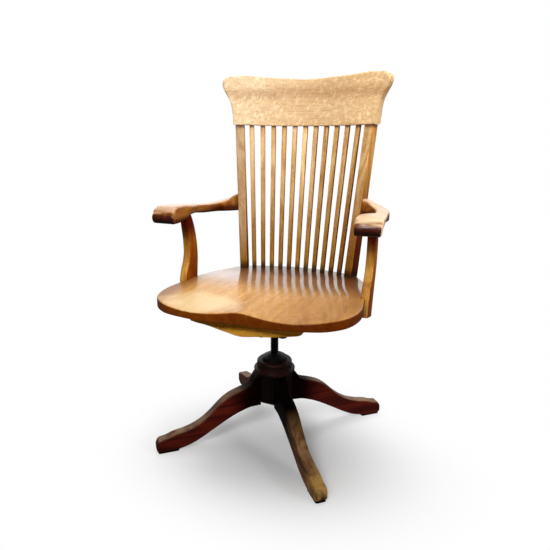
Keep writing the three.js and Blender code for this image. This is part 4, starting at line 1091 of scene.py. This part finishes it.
def tilt_spring(per_turn=40, around=14):
    """A coil spring with closed ends, shortened by the screw's travel to leave room above it."""
    wire, coils, y = spring["wire"] / 2, spring["coils"], spring["y"]
    room_above = joints["screw_rise"]["range_m"][1] / MM
    bottom, top = low("tilt_spring") + wire, high("tilt_spring") - room_above - wire
    closed = spring["end_pitch"] / coils
    rise = [(0, 0), (1 / coils, closed), (1 - 1 / coils, 1 - closed), (1, 1)]

    def up(share):
        k = 0
        while k < 2 and share > rise[k + 1][0]:
            k += 1
        (a, b), (c, d) = rise[k], rise[k + 1]
        return b + (share - a) / (c - a) * (d - b)

    rings = []
    for share in spread(coils * per_turn):
        turn = 2 * pi * coils * share
        ring = []
        for k in range(around):
            angle = 2 * pi * k / around
            r = spring["radius"] + wire * cos(angle)
            z = bottom + up(share) * (top - bottom) + wire * sin(angle)
            ring.append((r * cos(turn), y + r * sin(turn), z))
        rings.append(ring)
    made = build("tilt_spring", *skinned(rings), steel)
    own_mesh(made)


hub_post()
hub_cap()
adjusting_nut()
threaded_spindle()
tension_knob()
tilt_spring()

# Cleats

# Shares of the half length and of the depth
FRONT_CLEAT = [
    (-1, 0.29), (-0.87, 0.39), (-0.74, 0.45), (-0.46, 0.7), (-0.26, 0.88), (-0.16, 0.97), (-0.07, 1),
    (0.03, 0.97), (0.2, 0.87), (0.44, 0.77), (0.8, 0.53), (0.91, 0.43), (0.97, 0.31), (1, 0.11),
]
REAR_HALF = [(0, 1), (0.2, 0.95), (0.45, 0.75), (0.74, 0.48), (1, 0.29)]
REAR_CLEAT = [(-x, deep) for x, deep in reversed(REAR_HALF[1:])] + REAR_HALF


def cleat_shape(node, rows):
    half, ease = high(node, X), cleat["eased"]
    middle = (low(node, Y) + high(node, Y)) / 2
    rings = []
    for along in edged(2 * half, ease, 90):
        tip = eased(min(along, 2 * half - along), ease)
        share = along / half - 1
        bottom = cleat_top - cleat["depth"] * through(rows, share)
        wide = cleat["width"] / 2 - tip
        box = rounded(-wide, wide, bottom + tip, cleat_top, cleat["eased_top"],
                      min(ease, (cleat_top - bottom) * 0.4), steps=4)
        rings.append([(share * half, middle + a, b) for a, b in box])
    build(node, *skinned(rings), cleat_oak)


cleat_shape("front_cleat", FRONT_CLEAT)
cleat_shape("rear_cleat", REAR_CLEAT)

# Castings, pads and the solids that stay


def cast(node, voxel, material, rounds=4):
    """A softened copy of a CAD node, with the eased edges of a casting."""
    made = bpy.data.objects.new(f"{node}_shape", frame["nodes"][node].data.copy())
    bpy.context.scene.collection.objects.link(made)
    fine = made.modifiers.new("fine", "REMESH")
    fine.mode, fine.voxel_size = "VOXEL", voxel * MM
    ease = made.modifiers.new("ease", "SMOOTH")
    ease.factor, ease.iterations = 0.5, rounds
    shaped = bpy.data.meshes.new_from_object(made.evaluated_get(bpy.context.evaluated_depsgraph_get()))
    made.modifiers.clear()
    made.data = shaped
    shaped.shade_smooth()
    shaped.materials.clear()
    shaped.materials.append(material)
    stand_for(made, node)


cast("swivel_head", 1.0, cast_iron)
cast("seat_iron", 1.2, cast_iron)
for letter in "abcd":
    cast(f"foot_pad_{letter}", 0.6, hub_oak, 3)

for node, made in frame["nodes"].items():
    if made.hide_render:
        continue
    finish = plug_oak if "plug" in node else cast_iron if node in ("hub_plate", "spindle_socket") else steel
    made.data.materials.clear()
    made.data.materials.append(finish)

# Camera, floor and light

# Fitted to the photograph
camera = bpy.data.objects.new("camera", bpy.data.cameras.new("camera"))
bpy.context.scene.collection.objects.link(camera)
camera.location = (0.4627, -1.3229, 0.8421)
camera.rotation_euler = Euler((radians(90 - 15.128), 0, radians(19.477)))
camera.data.lens = 34.89
camera.data.sensor_width = 36
camera.data.clip_start, camera.data.clip_end = 0.05, 100
bpy.context.scene.camera = camera


def studio_floor(half=20):
    """A pale floor that takes the shadow near the chair and is plain white farther out."""
    mesh = bpy.data.meshes.new("floor")
    corners = [(-half, -half, 0), (half, -half, 0), (half, half, 0), (-half, half, 0)]
    mesh.from_pydata(corners, [], [(0, 1, 2, 3)])
    made = bpy.data.objects.new("floor", mesh)
    bpy.context.scene.collection.objects.link(made)
    f = Finish("floor")
    where = f.add("TexCoord").outputs["Object"]
    away = f.length(f.mapped(where, Location=(-0.05, 0.1, 0), Scale=(1, 1.35, 1)))
    seen = f.add("LightPath").outputs["Is Camera Ray"]
    glow = f.add("Emission", Color=WHITE, Strength=f.scaled(seen, 0.88, 0.12)).outputs[0]
    f.set(f.shader, Base_Color=f.mix(seen, (0.3, 0.3, 0.3, 1), WHITE), Roughness=0.7, Specular_IOR_Level=0.1)
    mixed = f.add("MixShader", Fac=f.band(away, 0.1, 0.6), _1=f.shader.outputs[0], _2=glow)
    f.set(f.tree.nodes["Material Output"], Surface=mixed.outputs[0])
    mesh.materials.append(f.material)


def studio_world(room=0.06, fill=0.22):
    """White to the camera, a white backdrop in reflections, a dim room in front and for fill."""
    world = bpy.data.worlds.new("studio")
    world.use_nodes = True
    bpy.context.scene.world = world
    f = Nodes(world.node_tree)
    path = f.add("LightPath")
    behind = f.part(f.add("TexCoord").outputs["Generated"], Y)
    shine = f.scaled(f.band(behind, -0.1, 0.4), 1 - room, room)
    mirrored = f.times(path.outputs["Is Glossy Ray"], f.calc("SUBTRACT", shine, fill))
    direct = f.times(path.outputs["Is Camera Ray"], 1 - fill)
    level = f.calc("ADD", f.calc("ADD", mirrored, direct), fill)
    f.set(f.tree.nodes["Background"], Color=WHITE, Strength=level)


def softbox(name, place, target, size, power, spread_angle=180, mirrored=True):
    """A square lamp that the camera doesn't see, nor the varnish unless mirrored."""
    lamp = bpy.data.lights.new(name, "AREA")
    lamp.shape, lamp.size, lamp.energy, lamp.spread = "SQUARE", size, power, radians(spread_angle)
    made = bpy.data.objects.new(name, lamp)
    bpy.context.scene.collection.objects.link(made)
    made.location = place
    made.rotation_euler = (Vector(target) - Vector(place)).to_track_quat("-Z", "Y").to_euler()
    made.visible_camera = False
    made.visible_glossy = mirrored


studio_floor()
studio_world()
softbox("top_light", (-0.2, 0.7, 3.0), (0, 0, 0.4), 2.2, 64, mirrored=False)
softbox("front_light", (0.1, -2.6, 2.7), (0, 0.2, 1.0), 1.5, 9.8, 42)
softbox("side_light", (2.2, -0.5, 1.3), (-0.1, 0, 0.7), 0.8, 2.5, 40, mirrored=False)
softbox("window_light", (-1.7, 2.2, 1.0), (-0.1, -0.1, 0.45), 1.4, 3.5)

bpy.context.scene.view_settings.view_transform = "Standard"
